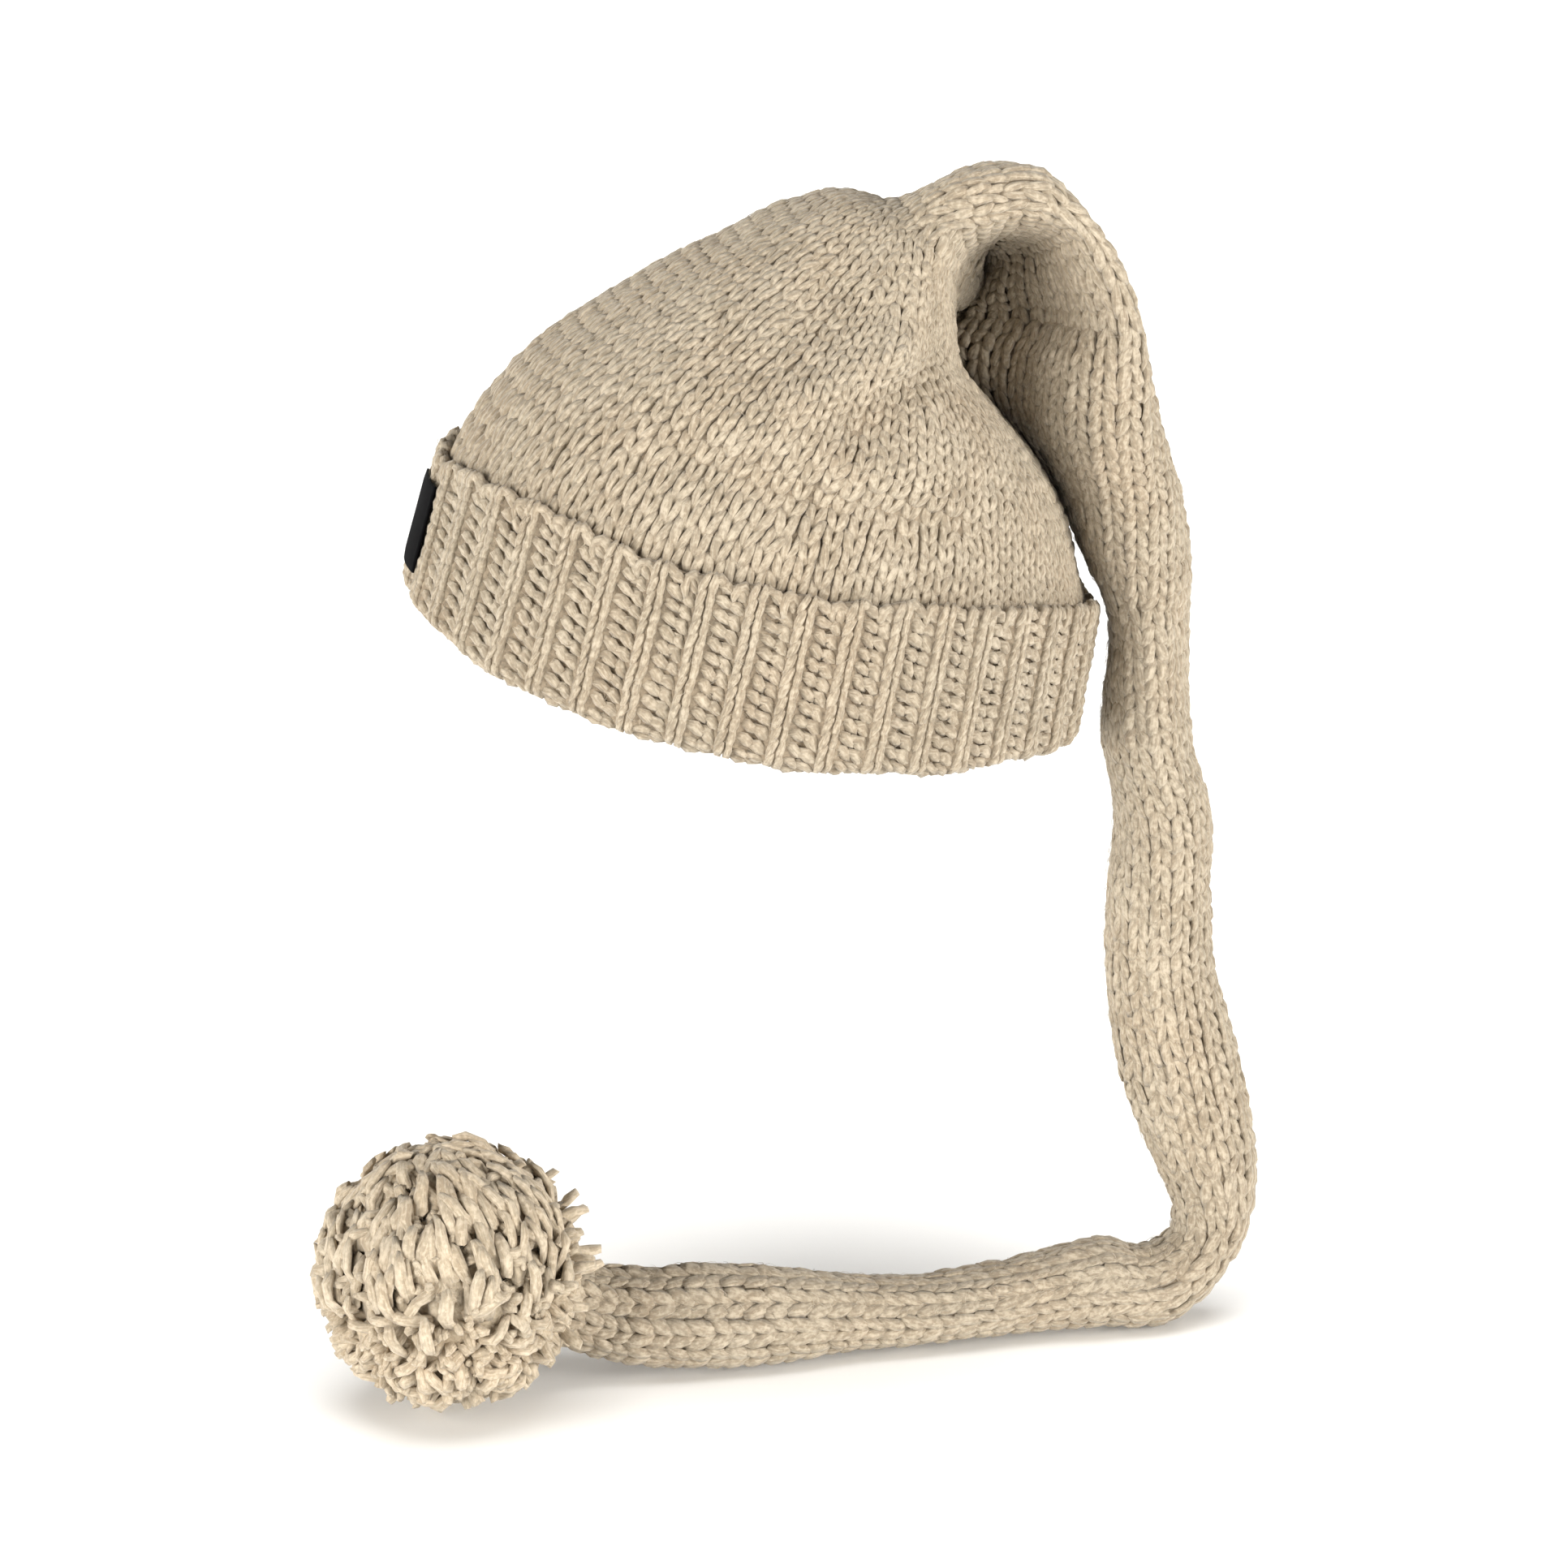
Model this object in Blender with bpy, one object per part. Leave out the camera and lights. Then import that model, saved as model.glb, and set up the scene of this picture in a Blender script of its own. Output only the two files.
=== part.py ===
"""A knitted stocking cap: folded rib cuff, limp crown, long tail and pompom.

The cap stands as a head holds it. The origin is the middle of the head
opening, +Z is up, -Y is the front and +X is the wearer's left. The long tail
rises from the back of the crown, bends over, hangs down behind the cuff and
runs forward again on the level where the pompom rests.
"""

import math
import random

import bmesh
import bpy
from mathutils import Vector

# Driving sizes of the head opening and the folded cuff, in metres
HEAD_LENGTH = 0.200
HEAD_WIDTH = 0.158
RIM_TILT = math.radians(15.6)
KNIT_WALL = 0.0045
CUFF_HEIGHT = 0.044
EDGE_DIP = 0.013
BACK_LEAN = 0.005
CUFF_LAYER = 0.0055
RIB_COUNT = 40
RIB_RELIEF = 0.0025
SCALLOP = 0.0012
EDGE_ROUND = 0.003
CROWN_TUCK = 0.014

# Driving sizes of the crown and the tail
ARCH_HEIGHT = 0.161
ARCH_WIDTH = 0.074
ARCH_DEPTH = 0.019
TAIL_WIDTH = 0.028
TAIL_DROP = 0.2243
TAIL_CLEARANCE = 0.0015

# Driving sizes of the folds on the crown
FOLD_REACH = 0.012
FOLD_LIFT = 0.005
FOLD_SIDE = 0.035
FAR_FOLDS = 0.6
HOLLOW_CURL = 1.30
NECK_CURL = 0.80

# Driving sizes of the pompom and the label
POMPOM_DIAMETER = 0.083
POMPOM_SIDE = 0.055
POMPOM_FRONT = 0.1004
LABEL_WIDTH = 0.026
LABEL_HEIGHT = 0.028
LABEL_THICKNESS = 0.0010
LABEL_DROP = 0.0035

# Clearances between neighbouring pieces
SEAM_GAP = 0.0003
TUCK_GAP = 0.0004

# The pompom's core and its flat seat for the tail, as shares of its radius
CORE_SHARE = 0.74
SEAT_SHARE = 0.77

# How wide a lock's end is, as a share of its foot
LOCK_SPREAD = 0.86

# How finely the shapes are cut into faces, and the turn between two rows from
# which a section is added between them
CROWN_SIDES = 40
TAIL_SIDES = 20
LABEL_STEPS = 8
MOST_BEND = math.radians(11)
POMPOM_SEED = 11

# How far the rim and the cuff's upper edge dip, in EDGE_DIP, by the angle from
# the front in degrees, the same on both sides
EDGE_SECTIONS = (
    (0, 0.30, 0.27),
    (20, 0.58, 0.05),
    (40, 0.93, 0.02),
    (65, 1.10, 0.32),
    (90, 0.98, 0.15),
    (115, 0.52, -0.27),
    (140, -0.02, -0.46),
    (160, -0.15, -0.35),
    (180, 0.00, 0.00),
)

# Where the vertices of one rib stand along its width, with the height of each
RIB_POINTS = ((-0.20, 1.0), (0.20, 1.0), (0.32, 0.0), (0.68, 0.0))

CUFF_THICKNESS = KNIT_WALL + TUCK_GAP + CUFF_LAYER
OUTER_HALF_LENGTH = HEAD_LENGTH / 2 + CUFF_THICKNESS
POMPOM_RADIUS = POMPOM_DIAMETER / 2
# The furthest the cuff reaches back, which the tail hangs clear of
BACK_REACH = ((OUTER_HALF_LENGTH - BACK_LEAN) * math.cos(RIM_TILT)
              + CUFF_HEIGHT * math.sin(RIM_TILT) + TAIL_CLEARANCE)

# Columns of the section tables:
#   name      where the section lies
#   y, z      a point of it, y in BACK_REACH, z in ARCH_HEIGHT above the rim
#             and in TAIL_DROP below it
#   side      how far to the wearer's left, in POMPOM_SIDE
#   turn      which way its outer face looks, in degrees from +Y towards +Z
#   depth     its half depth, and width its half width, as shares
#   lean      how far its left end leans outward, in degrees
#   square    exponent of its outline, 2 for an ellipse and more for a flat tube
#   held      which face the point is on: -1 inner, 0 middle, 1 outer

# Half depth in half the seat's length, half width in half the seat's width
CROWN_SECTIONS = (
    ("brow", 0.156, 0.393, 0.0, 159.3, 0.893, 0.946, 0, 2.0, 0),
    ("forehead", 0.230, 0.497, 0.0, 156.4, 0.771, 0.880, 0, 2.0, 0),
    ("temple", 0.278, 0.591, 0.0, 153.3, 0.623, 0.790, 0, 2.0, 0),
    ("upper slope", 0.317, 0.665, 0.0, 147.0, 0.482, 0.700, 0, 2.0, 0),
    ("peak front", 0.358, 0.735, 0.0, 137.4, 0.358, 0.620, 0, 2.0, 0),
    ("peak", 0.436, 0.785, 0.0, 127.9, 0.259, 0.550, 8, 2.1, 0),
    ("crease", 0.500, 0.806, 0.0, 124.3, 0.166, 0.500, 20, 2.3, 0),
)

# Half depth in half ARCH_DEPTH, half width in half ARCH_WIDTH
ARCH_SECTIONS = (
    ("root", 0.5764, 0.8473, 0.0, 117.6, 1.25, 1.05, 22, 2.5, 0),
    ("rise", 0.6395, 0.8764, 0.0, 105.0, 1.25, 1.03, 17, 2.7, 0),
    ("top", 0.6953, 0.8863, 0.0, 93.0, 1.18, 1.00, 16, 2.8, 0),
    ("turn over", 0.7585, 0.8753, 0.0, 77.0, 1.05, 0.99, 17, 2.8, 0),
    ("fall", 0.8222, 0.8279, 0.0, 57.0, 0.66, 0.97, 20, 2.8, 0),
    ("shoulder", 0.8593, 0.7574, 0.0, 35.0, 0.7, 0.95, 24, 2.7, 0),
    ("steep", 0.905, 0.675, 0.0, 12.0, 0.88, 0.92, 24, 2.5, 0),
)

# Half depth and half width both in half TAIL_WIDTH
TAIL_SECTIONS = (
    ("nape high", 0.778, 0.590, 0.0, 1.0, 1.07, 2.36, 26, 2.3, -1),
    ("nape", 0.772, 0.472, 0.0, -5.0, 1.45, 2.28, 18, 2.2, -1),
    ("nape low", 0.863, 0.335, 0.0, -6.0, 1.42, 2.14, 4, 2.2, -1),
    ("above cuff", 0.945, 0.186, 0.0, -8.0, 1.25, 2.07, -8, 2.2, -1),
    ("cuff edge", 1.022, 0.066, 0.0, -7.0, 0.92, 2.00, -14, 2.2, -1),
    ("cuff fold", 1.01, -0.130, 0.0, -2.0, 1.02, 1.79, -10, 2.2, -1),
    ("below cuff", 1.048, -0.253, 0.0, 0.0, 1.1, 1.57, -5, 2.1, -1),
    ("waist", 1.032, -0.374, 0.0, 2.0, 1.17, 1.36, 0, 2.0, -1),
    ("lower", 1.034, -0.497, 0.0, 8.0, 1.24, 1.20, 0, 2.0, -1),
    ("bulge", 1.065, -0.622, 0.035, 12.0, 1.37, 1.07, 0, 2.0, -1),
    ("ankle", 1.141, -0.742, 0.085, 12.0, 1.26, 1.00, 0, 2.0, -1),
    ("corner high", 1.217, -0.835, 0.14, 2.0, 0.95, 0.96, 0, 2.0, -1),
    ("corner", 1.207, -0.876, 0.19, -34.0, 0.78, 0.96, 0, 2.0, -1),
    ("corner low", 1.119, -0.890, 0.24, -68.0, 0.94, 1.00, 0, 2.0, -1),
    ("heel", 1.000, -1.000, 0.27, -90.0, 0.99, 1.07, 0, 2.0, 1),
    ("sole back", 0.841, -1.000, 0.29, -90.0, 0.87, 1.00, 0, 2.0, 1),
    ("sole", 0.648, -1.000, 0.345, -90.0, 0.76, 1.00, 0, 2.0, 1),
    ("sole middle", 0.455, -1.000, 0.41, -90.0, 0.74, 1.00, 0, 2.0, 1),
    ("sole front", 0.263, -1.000, 0.47, -90.0, 0.86, 0.96, 0, 2.0, 1),
    ("swell back", 0.069, -1.000, 0.58, -90.0, 1.06, 0.95, 0, 2.0, 1),
    ("swell", -0.120, -1.000, 0.63, -90.0, 1.18, 0.95, 0, 2.0, 1),
    ("lift", -0.308, -0.990, 0.66, -92.0, 1.12, 0.92, 0, 2.0, 1),
    ("neck", -0.469, -0.968, 0.69, -94.0, 1.02, 0.88, 0, 2.0, 1),
)

# Columns of the folds, each a soft ridge or valley along a straight line:
#   name            what the fold does
#   y, z, y, z      its two ends, y in BACK_REACH and z in ARCH_HEIGHT
#   reach           how far it spreads to each side, in FOLD_REACH
#   lift            how far it pushes the knit out, in FOLD_LIFT, less than 0 for in
FOLDS = (
    ("slouch", -0.208, 0.61, 0.052, 0.52, 0.90, 0.45),
    ("under slouch", -0.229, 0.52, 0.063, 0.43, 0.65, -0.45),
    ("gather low", 0.083, 0.60, 0.344, 0.68, 0.70, 0.90),
    ("gather high", 0.344, 0.68, 0.490, 0.84, 0.60, 0.90),
    ("gather top", 0.490, 0.84, 0.583, 0.93, 0.60, 0.45),
    ("under gather", 0.229, 0.54, 0.438, 0.62, 0.55, -0.80),
    ("back lobe", 0.438, 0.53, 0.625, 0.50, 0.80, 0.60),
    ("lobe", 0.188, 0.48, 0.438, 0.45, 0.70, 0.35),
    ("lobe valley", 0.125, 0.42, 0.521, 0.35, 0.60, -0.60),
    ("crease", 0.386, 0.93, 0.125, 0.73, 0.80, -0.70),
)


def add_object(name, mesh, colour, roughness):
    """Puts a finished mesh in the scene with a plain material of its own."""
    obj = bpy.data.objects.new(name, mesh)
    bpy.context.collection.objects.link(obj)
    material = bpy.data.materials.new(name + "_finish")
    material.use_nodes = True
    shader = material.node_tree.nodes["Principled BSDF"]
    shader.inputs["Base Color"].default_value = (*colour, 1.0)
    shader.inputs["Roughness"].default_value = roughness
    shader.inputs["Metallic"].default_value = 0.0
    mesh.materials.append(material)
    mesh.shade_smooth()
    mesh.set_sharp_from_angle(angle=math.radians(50))
    return obj


def mesh_from(bm, name):
    """Turns a bmesh into a closed mesh whose faces look outward."""
    bmesh.ops.triangulate(bm, faces=bm.faces[:])
    bmesh.ops.recalc_face_normals(bm, faces=bm.faces[:])
    mesh = bpy.data.meshes.new(name)
    bm.to_mesh(mesh)
    bm.free()
    return mesh


def rim_point(angle, grow, height):
    """A point round the head opening, 0 at the front and 90 at the left."""
    lean = BACK_LEAN * height / CUFF_HEIGHT
    front = (HEAD_LENGTH / 2 + grow - lean / 2) * math.cos(angle) + lean / 2
    left = (HEAD_WIDTH / 2 + grow) * math.sin(angle)
    return Vector((left,
                   -front * math.cos(RIM_TILT) + height * math.sin(RIM_TILT),
                   front * math.sin(RIM_TILT) + height * math.cos(RIM_TILT)))


def even_angles(shares, grow):
    """Angles that cut the rim's outline at shares of its length."""
    steps = 720
    lengths = [0.0]
    for i in range(steps):
        a = rim_point(2 * math.pi * i / steps, grow, 0)
        b = rim_point(2 * math.pi * (i + 1) / steps, grow, 0)
        lengths.append(lengths[-1] + (b - a).length)
    angles = []
    i = 0
    for share in shares:
        goal = share * lengths[-1]
        while i < steps - 1 and lengths[i + 1] < goal:
            i += 1
        part = (goal - lengths[i]) / (lengths[i + 1] - lengths[i])
        angles.append(2 * math.pi * (i + part) / steps)
    return angles


def edge_dips(angle):
    """How far the rim and the cuff's upper edge dip at an angle from the front."""
    degrees = math.degrees(angle) % 360
    degrees = min(degrees, 360 - degrees)
    for one, other in zip(EDGE_SECTIONS, EDGE_SECTIONS[1:]):
        if degrees <= other[0]:
            part = (degrees - one[0]) / (other[0] - one[0])
            blend = part * part * (3 - 2 * part)
            return [EDGE_DIP * (p + (q - p) * blend) for p, q in zip(one[1:], other[1:])]
    return [EDGE_DIP * share for share in EDGE_SECTIONS[-1][1:]]


def make_cuff():
    """The rib band: an inner layer, the fold at the rim and a turned-up layer."""
    shares = []
    crests = []
    for rib in range(RIB_COUNT):
        for place, crest in RIB_POINTS:
            shares.append((rib + place - RIB_POINTS[0][0]) / RIB_COUNT)
            crests.append(crest)
    angles = even_angles(shares, CUFF_THICKNESS)
    ledge = CUFF_HEIGHT - CROWN_TUCK
    inner_face = KNIT_WALL + TUCK_GAP
    bm = bmesh.new()
    rings = []
    for angle, crest in zip(angles, crests):
        outside = CUFF_THICKNESS - RIB_RELIEF * (1 - crest)
        inside = RIB_RELIEF * 0.4 * (crest - 1)
        rim_dip, top_dip = edge_dips(angle)
        low = -rim_dip
        top = CUFF_HEIGHT - top_dip + SCALLOP * (crest - 1)
        profile = (
            (inside + RIB_RELIEF * 0.4, low + EDGE_ROUND),
            (inside + RIB_RELIEF * 0.4, ledge),
            (inner_face, ledge),
            (inner_face, top - EDGE_ROUND / 2),
            (inner_face + CUFF_LAYER * 0.4, top),
            (outside, top - EDGE_ROUND),
            (outside, low + EDGE_ROUND),
            (CUFF_THICKNESS / 2, low),
        )
        rings.append([bm.verts.new(rim_point(angle, grow, height)) for grow, height in profile])
    count = len(rings[0])
    for i, ring in enumerate(rings):
        following = rings[(i + 1) % len(rings)]
        for j in range(count):
            k = (j + 1) % count
            bm.faces.new((ring[j], ring[k], following[k], following[j]))
    return add_object("cuff", mesh_from(bm, "cuff"), (0.70, 0.61, 0.47), 0.95)


def rise(share):
    """Height of a table's z share."""
    return share * (ARCH_HEIGHT if share > 0 else TAIL_DROP)


def table_section(row, depth_size, width_size):
    """One row of a section table in metres and radians."""
    _, y, z, side, turn, depth, width, lean, square, held = row
    half_depth = depth * depth_size / 2
    turn = math.radians(turn)
    outward = Vector((0, math.cos(turn), math.sin(turn)))
    point = Vector((side * POMPOM_SIDE, y * BACK_REACH, rise(z)))
    middle = point - outward * half_depth * held
    return (*middle, turn, half_depth, width * width_size / 2, math.radians(lean), square)


def all_sections():
    """Every section from the cuff's ledge to the tip of the tail."""
    seat_length = HEAD_LENGTH + 2 * KNIT_WALL
    seat_width = HEAD_WIDTH + 2 * KNIT_WALL
    seat = []
    for height in (CUFF_HEIGHT - CROWN_TUCK + SEAM_GAP, CUFF_HEIGHT):
        front = rim_point(0, KNIT_WALL, height)
        back = rim_point(math.pi, KNIT_WALL, height)
        middle = (front + back) / 2
        half_length = (front - back).length / 2
        seat.append((*middle, math.pi - RIM_TILT, half_length, seat_width / 2, 0.0, 2.0))
    crown = [table_section(row, seat_length, seat_width) for row in CROWN_SECTIONS]
    arch = [table_section(row, ARCH_DEPTH, ARCH_WIDTH) for row in ARCH_SECTIONS]
    tail = [table_section(row, TAIL_WIDTH, TAIL_WIDTH) for row in TAIL_SECTIONS]
    neck = tail[-1]
    centre = pompom_centre()
    away = (Vector(neck[:3]) - centre).normalized()
    tip = centre + away * (POMPOM_RADIUS * SEAT_SHARE + SEAM_GAP)
    tail.append((*tip, neck[3], neck[4] * 0.80, neck[5] * 0.85, neck[6], neck[7]))
    return seat + crown, arch + tail


def between(sections, index, part):
    """A section part of the way from one row to the next, on a smooth curve."""
    last = len(sections) - 1
    a = sections[max(index - 1, 0)]
    b = sections[index]
    c = sections[min(index + 1, last)]
    d = sections[min(index + 2, last)]
    knots = [0.0]
    for one, other in ((a, b), (b, c), (c, d)):
        knots.append(knots[-1] + max((Vector(one[:3]) - Vector(other[:3])).length, 1e-4) ** 0.5)
    t = knots[1] + part * (knots[2] - knots[1])

    def mix(p, q, low, high):
        return [(v * (high - t) + w * (t - low)) / (high - low) for v, w in zip(p, q)]

    ab = mix(a, b, knots[0], knots[1])
    bc = mix(b, c, knots[1], knots[2])
    cd = mix(c, d, knots[2], knots[3])
    abc = mix(ab, bc, knots[0], knots[2])
    bcd = mix(bc, cd, knots[1], knots[3])
    return mix(abc, bcd, knots[1], knots[2])


def refine(sections, first, last, fine_from):
    """The rows from first to last, with more wherever the tube bends and, from
    the row fine_from on, between every two.
    """
    rows = []
    for index in range(first, last):
        rows.append(list(sections[index]))
        bend = abs(sections[index + 1][3] - sections[index][3])
        if bend > MOST_BEND or index >= fine_from:
            rows.append(between(sections, index, 0.5))
    rows.append(list(sections[last]))
    return rows


def frame_of(rows, index):
    """The middle, outward and sideways directions of one section."""
    before = Vector(rows[max(index - 1, 0)][:3])
    after = Vector(rows[min(index + 1, len(rows) - 1)][:3])
    along = (after - before).normalized()
    turn, lean = rows[index][3], rows[index][6]
    outward = Vector((0, math.cos(turn), math.sin(turn)))
    left = Vector((1, 0, 0)) - along * along.x
    left = (left - outward * left.dot(outward)).normalized()
    tilted_left = left * math.cos(lean) + outward * math.sin(lean)
    tilted_out = outward * math.cos(lean) - left * math.sin(lean)
    return Vector(rows[index][:3]), tilted_out, tilted_left


def fold_lift(point):
    """How far the folds push the knit out at a point of its outer face."""
    place = Vector((point.y, point.z))
    total = 0.0
    for _, y, z, end_y, end_z, reach, lift in FOLDS:
        start = Vector((y * BACK_REACH, z * ARCH_HEIGHT))
        line = Vector((end_y * BACK_REACH, end_z * ARCH_HEIGHT)) - start
        part = min(max((place - start).dot(line) / line.length_squared, 0), 1)
        away = (place - start - line * part).length / (reach * FOLD_REACH)
        total += lift * FOLD_LIFT * math.exp(-away * away)
    side = min(abs(point.x) / FOLD_SIDE, 1)
    blend = side * side * (3 - 2 * side)
    return total * blend * (1 if point.x > 0 else FAR_FOLDS)


def ring_points(rows, index, sides, inset, shift):
    """The outline of one section, inset by a wall and shifted along the tube."""
    middle, outward, left = frame_of(rows, index)
    half_depth, half_width = rows[index][4:6]
    power = 2 / rows[index][7]
    turn, lean = rows[index][3], rows[index][6]
    falling = max(math.cos(turn) - 0.1, 0) / 0.9
    hanging = max(-math.cos(turn), 0) * max(1 - half_depth / half_width, 0)
    curled = (HOLLOW_CURL * falling * max(math.sin(lean), 0) + NECK_CURL * hanging) * half_width
    normal = outward.cross(left).normalized()
    points = []
    for i in range(sides):
        angle = 2 * math.pi * i / sides
        c, s = math.cos(angle), math.sin(angle)
        wide = math.copysign(abs(c) ** power, c)
        deep = math.copysign(abs(s) ** power, s)
        surface = left * half_width * wide + outward * half_depth * deep
        curl = outward * (curled * max(-wide, 0) ** 2)
        lift = surface.normalized() * fold_lift(middle + surface)
        wall = left * inset * wide + outward * inset * deep
        points.append(middle + surface - wall + lift - curl + normal * shift)
    return points


def make_tube(name, rows, sides, shifts, closed_tip, colour):
    """A knitted wall lofted through sections, open where the knit goes on."""
    bm = bmesh.new()
    walls = []
    for inset in (0.0, KNIT_WALL):
        rings = []
        for index in range(len(rows)):
            shift = shifts.get(index, 0.0)
            points = ring_points(rows, index, sides, inset, shift)
            rings.append([bm.verts.new(p) for p in points])
        walls.append(rings)
    outer, inner = walls
    if closed_tip:
        inner.pop()
    for rings in (outer, inner):
        for ring, following in zip(rings, rings[1:]):
            for i in range(sides):
                k = (i + 1) % sides
                bm.faces.new((ring[i], ring[k], following[k], following[i]))
        if closed_tip:
            bm.faces.new(rings[-1])
    ends = ((outer[0], inner[0]),) if closed_tip else ((outer[0], inner[0]), (outer[-1], inner[-1]))
    for outside, inside in ends:
        for i in range(sides):
            k = (i + 1) % sides
            bm.faces.new((outside[i], outside[k], inside[k], inside[i]))
    loose = [v for v in bm.verts if not v.link_faces]
    bmesh.ops.delete(bm, geom=loose, context="VERTS")
    return add_object(name, mesh_from(bm, name), colour, 0.95)


def pompom_centre():
    """The pompom's middle, resting on the level of the tail's lowest stretch."""
    return Vector((POMPOM_SIDE, -POMPOM_FRONT, -TAIL_DROP + POMPOM_RADIUS))


def lock_bases():
    """A round closed core whose faces, mostly six-sided, each carry one lock."""
    ball = bmesh.new()
    bmesh.ops.create_icosphere(ball, subdivisions=3, radius=1.0)
    bm = bmesh.new()
    corners = {}
    for face in ball.faces:
        direction = face.calc_center_median().normalized()
        corners[face] = bm.verts.new(direction * POMPOM_RADIUS * CORE_SHARE)
    for vert in ball.verts:
        side = vert.co.orthogonal()
        other = vert.co.cross(side)
        turns = []
        for face in vert.link_faces:
            middle = face.calc_center_median()
            turns.append((math.atan2(middle.dot(other), middle.dot(side)), face.index, face))
        bm.faces.new([corners[face] for _, _, face in sorted(turns)])
    ball.free()
    return bm


def make_pompom(tip_direction, seat_angle):
    """Locks of yarn fused to a round core, flat where the tail meets it."""
    chance = random.Random(POMPOM_SEED)
    bm = lock_bases()
    for face in bm.faces[:]:
        direction = face.calc_center_median().normalized()
        if direction.angle(tip_direction) < seat_angle:
            continue
        reach = POMPOM_RADIUS * chance.uniform(0.85, 0.93)
        tilt = Vector([chance.uniform(-0.02, 0.02) for _ in range(3)]) * POMPOM_RADIUS
        lock = bmesh.ops.extrude_discrete_faces(bm, faces=[face])["faces"][0]
        middle = lock.calc_center_median()
        for vert in lock.verts:
            spread = (vert.co - middle) * LOCK_SPREAD
            vert.co = direction * reach + spread + tilt
        tip = bmesh.ops.poke(bm, faces=[lock])["verts"][0]
        tip.co = direction * POMPOM_RADIUS * chance.uniform(0.97, 1.0) + tilt
    bmesh.ops.translate(bm, verts=bm.verts[:], vec=pompom_centre())
    return add_object("pompom", mesh_from(bm, "pompom"), (0.78, 0.70, 0.56), 0.95)


def make_label():
    """A small plain woven label on the front of the cuff."""
    grow_inner = CUFF_THICKNESS + SEAM_GAP
    grow_outer = grow_inner + LABEL_THICKNESS
    half_turn = LABEL_WIDTH / (HEAD_WIDTH + 2 * CUFF_THICKNESS)
    low = (CUFF_HEIGHT - LABEL_HEIGHT) / 2 - LABEL_DROP
    corners = ((grow_inner, low), (grow_outer, low),
               (grow_outer, low + LABEL_HEIGHT), (grow_inner, low + LABEL_HEIGHT))
    bm = bmesh.new()
    rings = []
    for i in range(LABEL_STEPS + 1):
        angle = half_turn * (2 * i / LABEL_STEPS - 1)
        rings.append([bm.verts.new(rim_point(angle, grow, height)) for grow, height in corners])
    for ring, following in zip(rings, rings[1:]):
        for j in range(4):
            k = (j + 1) % 4
            bm.faces.new((ring[j], ring[k], following[k], following[j]))
    bm.faces.new(rings[0])
    bm.faces.new(rings[-1])
    return add_object("label", mesh_from(bm, "label"), (0.02, 0.02, 0.022), 0.8)


def main():
    """Clears the scene and builds the cap."""
    for obj in list(bpy.data.objects):
        bpy.data.objects.remove(obj)
    crown_rows, tail_rows = all_sections()
    sections = crown_rows + tail_rows
    joint = len(crown_rows)
    make_cuff()
    rows = refine(sections, 0, joint, 1)
    make_tube("crown", rows, CROWN_SIDES, {len(rows) - 1: -SEAM_GAP / 2}, False,
              (0.68, 0.59, 0.45))
    rows = refine(sections, joint, len(sections) - 1, len(sections))
    make_tube("tail", rows, TAIL_SIDES, {0: SEAM_GAP / 2}, True, (0.68, 0.59, 0.45))
    tip = Vector(sections[-1][:3])
    seat_angle = math.atan(sections[-1][4] / (POMPOM_RADIUS * SEAT_SHARE)) + math.radians(23)
    make_pompom((tip - pompom_centre()).normalized(), seat_angle)
    make_label()


main()
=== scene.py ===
"""Looks of the knitted stocking cap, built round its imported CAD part.

Stitches, rib strands, purl bumps, yarn ends and fuzz are short strands that
Geometry Nodes set out on knitting charts. The charts are worked out here from
the cap's own surfaces, row by row, with columns dropped as the knit narrows.
"""

import math

import bpy
import numpy as np
from bpy.props import FloatProperty, FloatVectorProperty, IntProperty, PointerProperty
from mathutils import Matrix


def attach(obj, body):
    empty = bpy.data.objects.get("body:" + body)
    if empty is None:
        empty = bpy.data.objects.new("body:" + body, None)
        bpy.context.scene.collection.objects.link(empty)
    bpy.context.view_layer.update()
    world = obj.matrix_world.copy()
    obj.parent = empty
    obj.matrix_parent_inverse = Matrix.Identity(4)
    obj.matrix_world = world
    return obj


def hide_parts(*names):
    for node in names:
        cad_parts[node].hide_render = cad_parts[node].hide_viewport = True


bl_info = {
    "name": "Knitted stocking cap",
    "version": (1, 0, 0),
    "blender": (4, 5, 0),
    "location": "View3D > Sidebar > Cap",
    "description": "Dresses the packed cap in stitches, ribs, yarn ends and fuzz",
    "category": "Object",
}

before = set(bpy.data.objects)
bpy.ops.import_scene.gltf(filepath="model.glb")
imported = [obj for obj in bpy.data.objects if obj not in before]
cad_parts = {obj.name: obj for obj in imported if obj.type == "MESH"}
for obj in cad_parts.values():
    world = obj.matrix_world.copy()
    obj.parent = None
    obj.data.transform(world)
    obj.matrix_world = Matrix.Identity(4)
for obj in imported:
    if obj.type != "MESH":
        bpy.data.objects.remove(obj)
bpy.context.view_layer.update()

# Sizes of the head opening and the folded cuff, in metres, as the CAD part has them
HEAD_LENGTH = 0.200
HEAD_WIDTH = 0.158
RIM_TILT = math.radians(15.6)
KNIT_WALL = 0.0045
CUFF_HEIGHT = 0.044
EDGE_DIP = 0.013
BACK_LEAN = 0.005
CUFF_LAYER = 0.0055
RIB_COUNT = 40
RIB_RELIEF = 0.0025
SCALLOP = 0.0012
EDGE_ROUND = 0.003
CROWN_TUCK = 0.014
TUCK_GAP = 0.0004
CUFF_THICKNESS = KNIT_WALL + TUCK_GAP + CUFF_LAYER

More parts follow.
